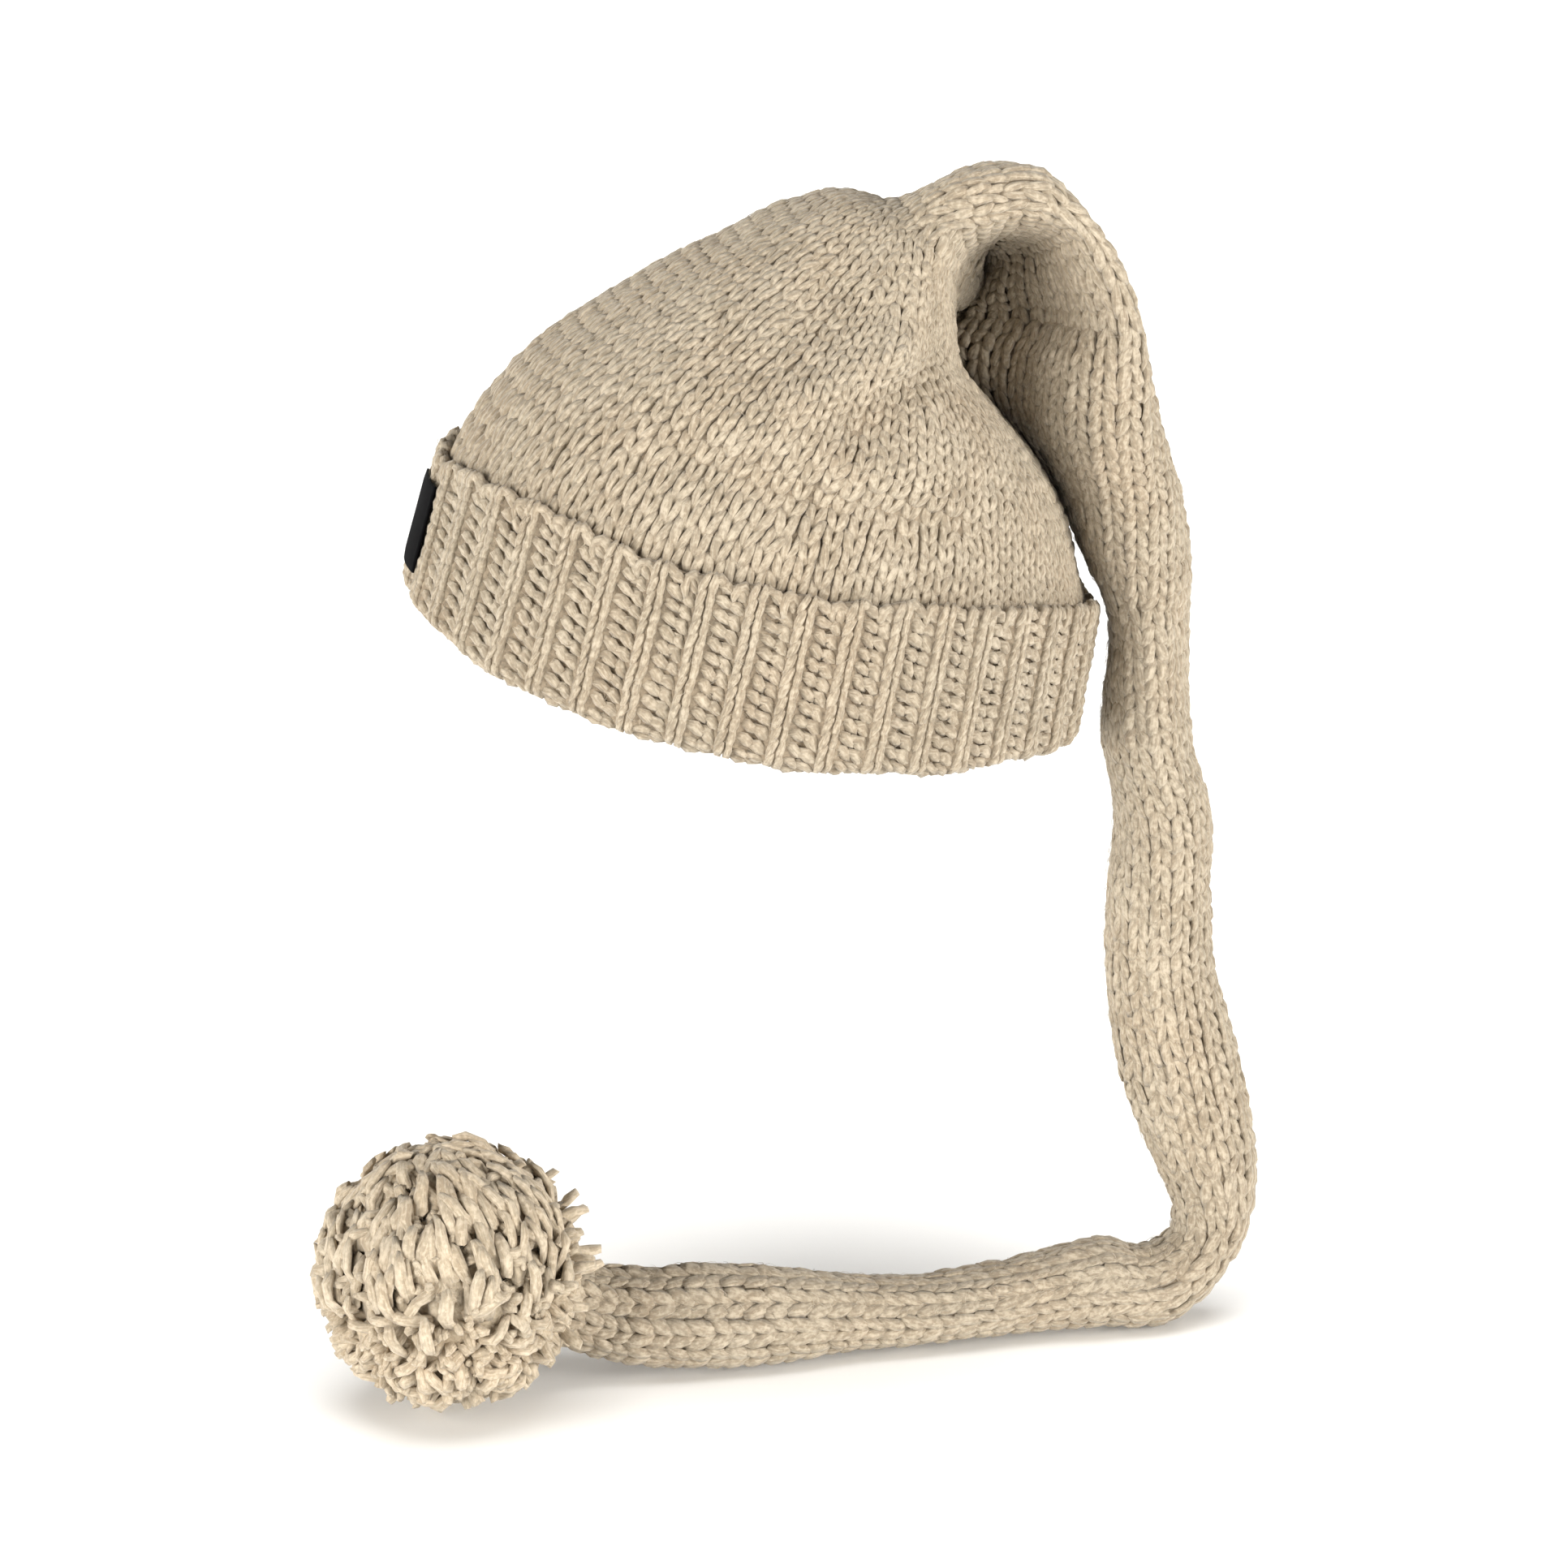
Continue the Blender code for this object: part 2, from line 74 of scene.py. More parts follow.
# Sizes of the crown, the tail, the pompom and the label, and shares: how far the tail's
# tip reaches into the pompom, how it narrows, and where the fall of the bend begins
ARCH_HEIGHT = 0.161
ARCH_WIDTH = 0.074
ARCH_DEPTH = 0.019
TAIL_WIDTH = 0.028
TAIL_DROP = 0.2243
TAIL_CLEARANCE = 0.0015
FOLD_REACH = 0.012
FOLD_LIFT = 0.005
FOLD_SIDE = 0.035
FAR_FOLDS = 0.6
HOLLOW_CURL = 1.30
NECK_CURL = 0.80
POMPOM_DIAMETER = 0.083
POMPOM_SIDE = 0.055
POMPOM_FRONT = 0.1004
POMPOM_RADIUS = POMPOM_DIAMETER / 2
SEAT_SHARE = 0.77
TIP_DEPTH = 0.80
TIP_WIDTH = 0.85
FALL_START = 0.1
LABEL_WIDTH = 0.026
LABEL_HEIGHT = 0.028
LABEL_THICKNESS = 0.0010
LABEL_DROP = 0.0035
BACK_REACH = ((HEAD_LENGTH / 2 + CUFF_THICKNESS - BACK_LEAN) * math.cos(RIM_TILT)
              + CUFF_HEIGHT * math.sin(RIM_TILT) + TAIL_CLEARANCE)

# Angle from the front in degrees, dip of the rim and of the upper edge in EDGE_DIP
EDGE_SECTIONS = (
    (0, 0.30, 0.27),
    (20, 0.58, 0.05),
    (40, 0.93, 0.02),
    (65, 1.10, 0.32),
    (90, 0.98, 0.15),
    (115, 0.52, -0.27),
    (140, -0.02, -0.46),
    (160, -0.15, -0.35),
    (180, 0.00, 0.00),
)

# Name, y in BACK_REACH, z in ARCH_HEIGHT or TAIL_DROP, side in POMPOM_SIDE, turn
# in degrees, half depth and half width as shares, lean, squareness, face held
CROWN_SECTIONS = (
    ("brow", 0.156, 0.393, 0.0, 159.3, 0.893, 0.946, 0, 2.0, 0),
    ("forehead", 0.230, 0.497, 0.0, 156.4, 0.771, 0.880, 0, 2.0, 0),
    ("temple", 0.278, 0.591, 0.0, 153.3, 0.623, 0.790, 0, 2.0, 0),
    ("upper slope", 0.317, 0.665, 0.0, 147.0, 0.482, 0.700, 0, 2.0, 0),
    ("peak front", 0.358, 0.735, 0.0, 137.4, 0.358, 0.620, 0, 2.0, 0),
    ("peak", 0.436, 0.785, 0.0, 127.9, 0.259, 0.550, 8, 2.1, 0),
    ("crease", 0.500, 0.806, 0.0, 124.3, 0.166, 0.500, 20, 2.3, 0),
)
ARCH_SECTIONS = (
    ("root", 0.5764, 0.8473, 0.0, 117.6, 1.25, 1.05, 22, 2.5, 0),
    ("rise", 0.6395, 0.8764, 0.0, 105.0, 1.25, 1.03, 17, 2.7, 0),
    ("top", 0.6953, 0.8863, 0.0, 93.0, 1.18, 1.00, 16, 2.8, 0),
    ("turn over", 0.7585, 0.8753, 0.0, 77.0, 1.05, 0.99, 17, 2.8, 0),
    ("fall", 0.8222, 0.8279, 0.0, 57.0, 0.66, 0.97, 20, 2.8, 0),
    ("shoulder", 0.8593, 0.7574, 0.0, 35.0, 0.7, 0.95, 24, 2.7, 0),
    ("steep", 0.905, 0.675, 0.0, 12.0, 0.88, 0.92, 24, 2.5, 0),
)
TAIL_SECTIONS = (
    ("nape high", 0.778, 0.590, 0.0, 1.0, 1.07, 2.36, 26, 2.3, -1),
    ("nape", 0.772, 0.472, 0.0, -5.0, 1.45, 2.28, 18, 2.2, -1),
    ("nape low", 0.863, 0.335, 0.0, -6.0, 1.42, 2.14, 4, 2.2, -1),
    ("above cuff", 0.945, 0.186, 0.0, -8.0, 1.25, 2.07, -8, 2.2, -1),
    ("cuff edge", 1.022, 0.066, 0.0, -7.0, 0.92, 2.00, -14, 2.2, -1),
    ("cuff fold", 1.01, -0.130, 0.0, -2.0, 1.02, 1.79, -10, 2.2, -1),
    ("below cuff", 1.048, -0.253, 0.0, 0.0, 1.1, 1.57, -5, 2.1, -1),
    ("waist", 1.032, -0.374, 0.0, 2.0, 1.17, 1.36, 0, 2.0, -1),
    ("lower", 1.034, -0.497, 0.0, 8.0, 1.24, 1.20, 0, 2.0, -1),
    ("bulge", 1.065, -0.622, 0.035, 12.0, 1.37, 1.07, 0, 2.0, -1),
    ("ankle", 1.141, -0.742, 0.085, 12.0, 1.26, 1.00, 0, 2.0, -1),
    ("corner high", 1.217, -0.835, 0.14, 2.0, 0.95, 0.96, 0, 2.0, -1),
    ("corner", 1.207, -0.876, 0.19, -34.0, 0.78, 0.96, 0, 2.0, -1),
    ("corner low", 1.119, -0.890, 0.24, -68.0, 0.94, 1.00, 0, 2.0, -1),
    ("heel", 1.000, -1.000, 0.27, -90.0, 0.99, 1.07, 0, 2.0, 1),
    ("sole back", 0.841, -1.000, 0.29, -90.0, 0.87, 1.00, 0, 2.0, 1),
    ("sole", 0.648, -1.000, 0.345, -90.0, 0.76, 1.00, 0, 2.0, 1),
    ("sole middle", 0.455, -1.000, 0.41, -90.0, 0.74, 1.00, 0, 2.0, 1),
    ("sole front", 0.263, -1.000, 0.47, -90.0, 0.86, 0.96, 0, 2.0, 1),
    ("swell back", 0.069, -1.000, 0.58, -90.0, 1.06, 0.95, 0, 2.0, 1),
    ("swell", -0.120, -1.000, 0.63, -90.0, 1.18, 0.95, 0, 2.0, 1),
    ("lift", -0.308, -0.990, 0.66, -92.0, 1.12, 0.92, 0, 2.0, 1),
    ("neck", -0.469, -0.968, 0.69, -94.0, 1.02, 0.88, 0, 2.0, 1),
)

# Name, y in BACK_REACH, z in ARCH_HEIGHT, the same of its end, reach in
# FOLD_REACH, lift in FOLD_LIFT
FOLDS = (
    ("slouch", -0.208, 0.61, 0.052, 0.52, 0.90, 0.45),
    ("under slouch", -0.229, 0.52, 0.063, 0.43, 0.65, -0.45),
    ("gather low", 0.083, 0.60, 0.344, 0.68, 0.70, 0.90),
    ("gather high", 0.344, 0.68, 0.490, 0.84, 0.60, 0.90),
    ("gather top", 0.490, 0.84, 0.583, 0.93, 0.60, 0.45),
    ("under gather", 0.229, 0.54, 0.438, 0.62, 0.55, -0.80),
    ("back lobe", 0.438, 0.53, 0.625, 0.50, 0.80, 0.60),
    ("lobe", 0.188, 0.48, 0.438, 0.45, 0.70, 0.35),
    ("lobe valley", 0.125, 0.42, 0.521, 0.35, 0.60, -0.60),
    ("crease", 0.386, 0.93, 0.125, 0.73, 0.80, -0.70),
)

# Gauge of the knit: the section from which it holds, then the width of a column
# and the height of a row, as shares of the stitch sizes in the panel
GAUGE = (
    ("seat", 1.00, 1.20),
    ("brow", 0.97, 1.10),
    ("temple", 0.89, 0.96),
    ("peak", 0.80, 0.84),
    ("root", 1.06, 1.00),
    ("shoulder", 1.12, 1.02),
    ("nape", 1.12, 1.06),
    ("below cuff", 1.12, 1.18),
    ("ankle", 1.12, 1.22),
    ("sole", 1.25, 1.27),
    ("neck", 1.20, 1.25),
)

# How finely the smooth surfaces are sampled
STEPS_BETWEEN = 8
RING_STEPS = 240
WALL_SIDES = 80
WALL_EVERY = 2

# Photograph's frame: camera angles and distance, focal length and the pixel of
# the origin in an image of 1932 x 1932
IMAGE_SIZE = 1932
CAMERA_AZIMUTH = math.radians(82.0)
CAMERA_HEIGHT = math.radians(16.0)
CAMERA_DISTANCE = 2.0
FOCAL_PIXELS = 7800.0
ORIGIN_PIXEL = (914.0, 808.0)
SENSOR = 36.0

# How far the floor lies below the tail's walls, for the stitches that cover them
FLOOR_GAP = 0.0027

# Charts: how far the first row lies above the ledge, how unevenly columns end, and
# how often the others are eased apart in each row
FIRST_ROW = 0.004
END_CHANCE = (0.85, 1.15)
EASING_ROUNDS = 3

# Body: how deep the wall lies, how much less where it is felted, and the limits of a
# stitch's mean size that its depth follows
WALL_INSET = 0.0009
FELT_RISE = 0.0001
STITCH_DEPTHS = (0.0050, 0.0075)

# Felted side of the tail: where it starts high and low, and how wide its border is
FELT_START = (0.80, -0.05)
FELT_BORDER = 0.40
# Thicker side of the hollow: how sharp its borders are, and its shift round and along
HOLLOW_SLOPE = 2
HOLLOW_EDGE = 0.4
HOLLOW_END = 0.3

# Pieces of the body: name, first and last section, node that it belongs to, seed
BODY_PARTS = (
    ("crown_low_stitches", "ledge", "forehead", "crown", 1),
    ("crown_high_stitches", "forehead", "root", "crown", 2),
    ("upper_tail_stitches", "root", "below cuff", "tail", 3),
    ("lower_tail_stitches", "below cuff", "tip", "tail", 4),
)

# Cuff: how deep the wall, the rib's strands and the purls lie, and the inner side's
# relief as a share of the outer side's
CUFF_INSET = 0.0007
LEG_SINK = 0.0012
PURL_SINK = 0.0010
INNER_RELIEF = 0.4
# Columns of the wall in each rib, points of its fold, place and height of its brim
WALL_COLUMNS = 6
FOLD_POINTS = 8
BRIM_PLACE = 0.35
BRIM_RISE = 0.0004
# Short steps along the cuff and round it, by which its directions are found, and how
# finely its outline is measured
PROBE = 0.001
TURN_PROBE = 0.01
OUTLINE_STEPS = 721

# Columns of strands in each rib: place in the rib, lean in degrees, rise in rows, then
# width, height and thickness as shares; and a purl's width in ribs, its thickness and
# its place between the valley (0) and the crest (1)
LEG_COLUMNS = ((-0.094, 13.0, 0.0, 1.0, 1.0, 1.0), (0.086, 2.0, 0.0, 1.05, 1.0, 1.0))
PURL_COLUMNS = ((0.345, 6.0, 0.16, 1.0, 1.02, 1.0), (0.640, 6.0, -0.18, 1.0, 1.22, 0.85))
PURL_WIDTH = 0.36
PURL_DEPTH = 0.0044
PURL_CREST = 0.30

# Cast-off edge: loops to a rib, their shift, place across the layer, depth and size
EDGE_LOOPS = 2
EDGE_SHIFT = 0.32
EDGE_PLACE = 0.60
EDGE_SINK = 0.0026
EDGE_SIZE = 0.0082

# Label: steps across and up, how far it lies off the cuff, the share of its thickness
# at its edges, and the twill of its tape
LABEL_STEPS = 24
LABEL_ROWS = 20
LABEL_GAP = 0.0003
LABEL_EDGE = 0.75
TAPE_SHADER = {"Roughness": 0.8, "Specular IOR Level": 0.04}
TAPE_TWILL = {"Scale": 900.0, "Distortion": 0.6}
TAPE_SHADES = (0.6, 1.9)
TAPE_BUMP = {"Strength": 0.5, "Distance": 0.0002}

# Turn from one yarn end to the next, which spreads them evenly over a ball
GOLDEN_TURN = math.pi * (1 + 5 ** 0.5)

# Pompom: angles round the seat that stay free of ends and of bows, start and reach of
# the ends in its radius, and how much their places and directions vary
SEAT_FREE = math.radians(22)
SEAT_FREE_BOWS = math.radians(34)
END_START = 0.60
END_REACH = (0.90, 1.02)
END_SPREAD = 0.045
END_LEAN = 0.30
# Radius of an end in its shape, the bends of its three kinds, and what multiplies them
END_RADIUS = 0.056
END_BENDS = (0.35, 0.9, -0.6)
BEND_REACH = 1.3
# Some ends near the seat stand out: their share, their reach, and where they are found.
# Below a level the ends are shorter, for the pompom lies on them
STRAY_SHARE = 0.14
STRAY_REACH = 1.45
STRAY_SEAT = 0.45
STRAY_LOW = -0.45
UNDER_LEVEL = -0.80
UNDER_REACH = 0.88
# Direction round which ends lie combed down, how many do, and how soon that begins
SWEPT = (0.0, -0.20, 0.98)
COMBED_SHARE = 0.62
COMBED_SLOPE = 1.8
COMBED_START = 0.40
# Bows and core: a bow's length, its thickness in the shape and its level in the radius,
# and the core's level, rings and sides
BOW_LENGTH = (0.011, 0.016)
BOW_RADIUS = 0.24
BOW_LEVEL = 0.93
CORE_LEVEL = 0.88
CORE_RINGS = 14
CORE_SIDES = 24
# How much lighter the pompom's wool and its core are than the knit's, how much finer
# its fibres are, and how its yarn strays
POMPOM_LIGHT = 1.20
POMPOM_MIDDLE = 1.36
# The pompom's deep wool is lighter than its main wool: painted light in the shade between its ends
POMPOM_DEEP = 3.0
CORE_LIGHT = 1.30
POMPOM_STREAK = 1.4
POMPOM_STRAY = {"wobble": 0.0040, "scale": 120.0}

# Loose fibres: columns to a rib, each part's share of them, how far from the middle of a
# stitch, turn in radians, lengths as shares of the setting, and how many lie where the
# tail isn't felted; then their finish, from dark to pale
FUZZ_COLUMNS = 3
FUZZ_SHARES = {"crown": 0.40, "tail": 0.34, "cuff": 0.26}
FUZZ_PLACE = 0.45
FUZZ_TURN = 0.9
FUZZ_LENGTH = (0.6, 1.3)
FUZZ_PLAIN = 0.5
FIBRE_SHADER = {"Roughness": 0.8, "Sheen Weight": 0.3}
FIBRE_DARK = 0.55
FIBRE_PALE = 1.12
FIBRE_STOPS = (0.10, 0.55)

# Sun lamps of the stage: name, setting, side that they come from and colour
LAMPS = (
    ("key", "key", (0.62, 0.76, 0.10), (1.0, 0.965, 0.92)),
    ("fill", "fill", (0.50, -0.85, 0.12), (1.0, 0.97, 0.93)),
    ("far fill", "far", (-0.96, 0.10, 0.14), (1.0, 0.97, 0.94)),
    ("backdrop light", "backdrop", (0.10, 0.0, 1.0), (1.0, 1.0, 1.0)),
)
LAMP_ANGLE = math.radians(50.0)
SKY = (0.88, 0.94, 1.0, 1.0)
FLOOR_RADIUS = 7.0
FLOOR_SIDES = 96
FLOOR_SHADER = {"Roughness": 0.85, "Specular IOR Level": 0.2}
VIEW_END = 50.0

# Shapes that are set out, in shares of the place they fill: path, radii, sides, height
# at which they are palest and height over which they darken with painted shade on their
# low parts (on the pompom that mark is painted light instead)
SHAPES = {
    "stitch": (((0.06, -0.50, -0.19), (0.14, -0.16, 0.01), (0.23, 0.24, 0.08),
                (0.30, 0.64, 0.05), (0.34, 1.02, -0.17)),
               (0.18, 0.25, 0.285, 0.265, 0.19), 5, 0.36, 0.72),
    "rib leg": (((0.0, -0.75, -0.22), (0.0, -0.40, 0.02), (0.0, 0.05, 0.12),
                 (0.0, 0.45, 0.04), (0.0, 0.80, -0.22)),
                (0.24, 0.44, 0.50, 0.43, 0.22), 5, 0.6, 1.2),
    "purl bump": (((-0.58, 0.02, -0.34), (-0.40, 0.22, 0.00), (-0.08, 0.20, 0.12),
                   (0.26, -0.08, 0.08), (0.58, -0.40, -0.30)),
                  (0.22, 0.36, 0.41, 0.37, 0.22), 5, 0.55, 1.1),
    "inner bump": (((-0.56, -0.22, -0.26), (-0.22, 0.16, 0.10), (0.22, 0.16, 0.10),
                    (0.56, -0.22, -0.26)),
                   (0.16, 0.26, 0.26, 0.16), 4, 0.45, 0.9),
    "edge loop": (((-0.24, -0.50, -0.10), (-0.31, -0.12, 0.04), (-0.20, 0.17, 0.03),
                   (0.03, 0.26, -0.05), (0.25, 0.12, -0.10), (0.36, -0.16, -0.14),
                   (0.28, -0.50, -0.22)),
                  (0.12, 0.20, 0.22, 0.23, 0.22, 0.20, 0.12), 6, 0.40, 0.8),
    "yarn end": (((0, 0, 0), (0.02, 0, 0.30), (0.08, 0.02, 0.58), (0.20, 0.03, 0.82),
                  (0.34, 0.04, 1.0)),
                 (0.045, 0.054, 0.060, 0.058, 0.036), 5, 1.15, 1.0),
    "combed end": (((0, 0, 0.2), (0.02, 0, 0.58), (0.10, 0.015, 0.84), (0.23, 0.02, 0.90),
                    (0.37, 0.0, 0.82), (0.46, -0.01, 0.66)),
                   (0.050, 0.056, 0.062, 0.065, 0.060, 0.036), 6, 1.15, 1.0),
    "yarn bow": (((0, -0.50, -0.20), (0.02, -0.32, 0.02), (0.05, -0.08, 0.13),
                  (0.04, 0.18, 0.12), (0.0, 0.38, -0.02), (-0.02, 0.52, -0.22)),
                 (0.10, 0.115, 0.12, 0.12, 0.115, 0.09), 6, 0.35, 0.7),
    "fibre": (((0, -0.5, -0.16), (0.10, -0.18, 0.05), (0.14, 0.16, 0.07), (0.02, 0.5, -0.08)),
              (0.5, 1.0, 0.9, 0.35), 3, 1.0, 2.0),
}
# A direction that no path follows, from which the rings of a strand are laid out
STRAND_SIDE = (0.3, 0.1, 1.0)

TREE_NAME = "Set out strands"
TREE_INPUTS = (("Chart", "Geometry"), ("Shape", "Object"), ("Turn", "Float"),
               ("Growth", "Float"), ("Wobble", "Float"), ("Wobble scale", "Float"),
               ("Seed", "Int"), ("Finish", "Material"))

# Layers of the wool's colour from the lowest up: what each one follows, where it begins
# and ends, its strength there, and the wool that it tints with its shares of that
WOOL_LAYERS = (
    ("patch", 0.35, 0.68, 0.0, 1.0, "pale", (1.0, 1.0, 1.0)),
    ("warmth", 0.42, 0.72, 0.0, 0.42, "main", (1.02, 0.90, 0.80)),
    ("tone", 0.0, 1.0, 0.0, 0.34, "main", (0.80, 0.78, 0.76)),
    # deep: painted shade on the strands' low parts; the pompom's deep wool is lighter, so there it
    # is painted light
    ("deep", 0.52, 1.0, 0.0, 0.72, "deep", (1.0, 1.0, 1.0)),
    ("hair", 0.60, 0.67, 0.0, 0.40, "main", (0.40, 0.34, 0.30)),
    ("felt", 0.0, 1.0, 0.0, 0.85, "knit", (1.0, 1.0, 1.0)),
    ("fibre", 0.34, 0.53, 0.58, 0.0, "main", (0.62, 0.56, 0.50)),
    ("fibre", 0.52, 0.68, 0.0, 0.65, "pale", (1.18, 1.18, 1.18)),
    ("fleck", 0.36, 0.49, 0.50, 0.0, "main", (0.66, 0.66, 0.66)),
    ("fleck", 0.52, 0.64, 0.0, 0.55, "pale", (1.15, 1.15, 1.15)),
)
# No wool is paler than this
WHITEST = 0.95
# Scale and detail of the wool's noises. Along the yarn's UV: scale and slant of the
# fibres, how far a strand's tone shifts them, and how much finer single hairs are
WOOL_NOISES = {"patch": (70.0, 3.0), "warmth": (38.0, 2.0), "fleck": (620.0, 4.0),
               "backing": (900.0, 4.0), "fine": (2600.0, 3.0), "yarn": (1.6, 4.0),
               "hair": (1.6, 1.0)}
FIBRE_SCALE = (2.2, 9.0, 1.0)
FIBRE_SLANT = (0.0, 0.0, 0.35)
FIBRE_SHIFT = (37.0, 91.0, 53.0)
HAIR_SCALE = (2.2, 3.4, 1.0)
# Sheen of the wool, the range of its roughness over its fibres, and its bump
WOOL_SHADER = {"Sheen Weight": 0.25, "Sheen Roughness": 0.6,
               "Sheen Tint": (1.0, 0.95, 0.86, 1.0), "Specular IOR Level": 0.2}
ROUGHNESS = (0.2, 0.8, 0.98, 0.84)
FINE_SHARE = 0.4
WOOL_BUMP = {"Strength": 0.75, "Distance": 0.0005}
# Wall between the strands, darker with painted shade: its shares of two wools, and its main tone
BACKING_MIDDLE = 0.60
BACKING_DEEP = 0.40
BACKING_MAIN = 0.8


class CapKnit(bpy.types.PropertyGroup):
    """Sizes and colours of the knit"""
    column: FloatProperty(name="Column width", description="Width of a column of stitches",
                          default=0.0066, unit="LENGTH")
    row: FloatProperty(name="Row height", description="Height of a row of stitches",
                       default=0.0051, unit="LENGTH")
    sink: FloatProperty(name="Stitch depth", description="How deep the strands' middles lie",
                        default=0.0008, unit="LENGTH")
    relief: FloatProperty(name="Relief", description="How raised the stitches are",
                          default=0.74, min=0, max=2)
    felt_sink: FloatProperty(name="Felted depth", default=0.0001, unit="LENGTH",
                             description="How much deeper felted stitches lie")
    felt_flat: FloatProperty(name="Felted share", default=0.54, min=0, max=1,
                             description="How much flatter felted stitches are")
    hollow_lift: FloatProperty(name="Hollow lift", description="How much thicker the far side is",
                               default=0.0018, unit="LENGTH")
    wobble: FloatProperty(name="Wobble", description="How far the yarn strays from its path",
                          default=0.0015, unit="LENGTH")
    light: FloatVectorProperty(name="Light wool", description="Colour of the palest fibres",
                               default=(0.448, 0.388, 0.298), subtype="COLOR", min=0, max=1)
    middle: FloatVectorProperty(name="Wool", description="Main colour of the yarn",
                                default=(0.348, 0.292, 0.213), subtype="COLOR", min=0, max=1)
    # The deep wool is painted shade: strands' low parts and the wall between them darken towards
    # it
    deep: FloatVectorProperty(name="Deep wool", description="Colour between the strands",
                              default=(0.200, 0.150, 0.098), subtype="COLOR", min=0, max=1)
    seed: IntProperty(name="Seed", description="Seed of the yarn's variation", default=7)


class CapCuff(bpy.types.PropertyGroup):
    """Sizes of the rib"""
    rows: IntProperty(name="Rows", description="Rows of the turned-up layer", default=11)
    fold_rows: IntProperty(name="Fold rows", description="Rows round the fold", default=3)
    inner_rows: IntProperty(name="Inner rows", description="Rows of the inner layer", default=7)
    strand: FloatProperty(name="Strand", description="Thickness of a rib's strands",
                          default=0.0029, unit="LENGTH")


class CapPompom(bpy.types.PropertyGroup):
    """Yarn ends of the pompom"""
    ends: IntProperty(name="Ends", description="Number of yarn ends", default=2150)
    bows: IntProperty(name="Loops", description="Number of loops that lie over it", default=120)
    yarn: FloatProperty(name="Yarn", description="Thickness of a yarn end",
                        default=0.0039, unit="LENGTH")


class CapFuzz(bpy.types.PropertyGroup):
    """Loose fibres"""
    fibres: IntProperty(name="Fibres", description="Number of loose fibres", default=8600)
    length: FloatProperty(name="Length", description="Length of a fibre",
                          default=0.0046, unit="LENGTH")
    thick: FloatProperty(name="Thickness", description="Thickness of a fibre",
                         default=0.00012, unit="LENGTH")


class CapLabel(bpy.types.PropertyGroup):
    """Finish of the label"""
    colour: FloatVectorProperty(name="Label", description="Colour of the woven label",
                                default=(0.0028, 0.0028, 0.0032), subtype="COLOR", min=0, max=1)


class CapStage(bpy.types.PropertyGroup):
    """Floor, light and camera"""
    floor: FloatVectorProperty(name="Floor", description="Colour of the floor",
                               default=(0.86, 0.86, 0.85), subtype="COLOR", min=0, max=1)
    key: FloatProperty(name="Key light", description="Strength of the light from the right",
                       default=5.9)
    fill: FloatProperty(name="Fill light", description="Strength of the light from the left",
                        default=5.9)
    far: FloatProperty(name="Far light", description="Strength of the light from the far side",
                       default=2.2)
    backdrop: FloatProperty(name="Backdrop", description="Strength of the floor's own light",
                            default=2.9)
    world: FloatProperty(name="Surroundings", description="Strength of the light all round",
                         default=0.10, min=0)


def rim_points(angle, grow, height):
    """Points round the head opening, 0 at the front and 90 at the left."""
    lean = BACK_LEAN * height / CUFF_HEIGHT
    front = (HEAD_LENGTH / 2 + grow - lean / 2) * np.cos(angle) + lean / 2
    left = (HEAD_WIDTH / 2 + grow) * np.sin(angle)
    return np.stack((left,
                     -front * math.cos(RIM_TILT) + height * math.sin(RIM_TILT),
                     front * math.sin(RIM_TILT) + height * math.cos(RIM_TILT)), -1)


def cuff_shares(columns, shift=0.0):
    """Even shares of the way round the cuff, with some columns to each rib."""
    return (np.arange(RIB_COUNT * columns) + shift) / (RIB_COUNT * columns)


def share_angles(shares):
    """Angles that cut the cuff's outline at shares of its length."""
    steps = np.linspace(0, 2 * math.pi, 2 * OUTLINE_STEPS - 1)
    points = rim_points(steps, CUFF_THICKNESS, 0.0)
    lengths = np.concatenate(((0,), np.cumsum(np.linalg.norm(np.diff(points, axis=0), axis=1))))
    return np.interp(shares % 1.0 * lengths[-1], lengths, steps)


def smooth(part):
    """A share from 0 to 1 that starts and ends softly."""
    return part * part * (3 - 2 * part)


def edge_dips(angle):
    """How far the rim and the cuff's upper edge dip at angles from the front."""
    degrees = np.degrees(angle) % 360
    degrees = np.minimum(degrees, 360 - degrees)
    table = np.array(EDGE_SECTIONS)
    place = np.clip(np.searchsorted(table[:, 0], degrees) - 1, 0, len(table) - 2)
    part = (degrees - table[place, 0]) / (table[place + 1, 0] - table[place, 0])
    return [EDGE_DIP * (table[place, k] + (table[place + 1, k] - table[place, k]) * smooth(part))
            for k in (1, 2)]


def table_section(row, depth_size, width_size):
    """One row of a section table in metres and radians."""
    _, y, z, side, turn, depth, width, lean, square, held = row
    half_depth = depth * depth_size / 2
    turn = math.radians(turn)
    rise = z * (ARCH_HEIGHT if z > 0 else TAIL_DROP)
    middle = (side * POMPOM_SIDE, y * BACK_REACH - math.cos(turn) * half_depth * held,
              rise - math.sin(turn) * half_depth * held)
    return (*middle, turn, half_depth, width * width_size / 2, math.radians(lean), square)


def pompom_centre():
    """The pompom's middle, resting on the level of the tail's lowest stretch."""
    return np.array((POMPOM_SIDE, -POMPOM_FRONT, -TAIL_DROP + POMPOM_RADIUS))


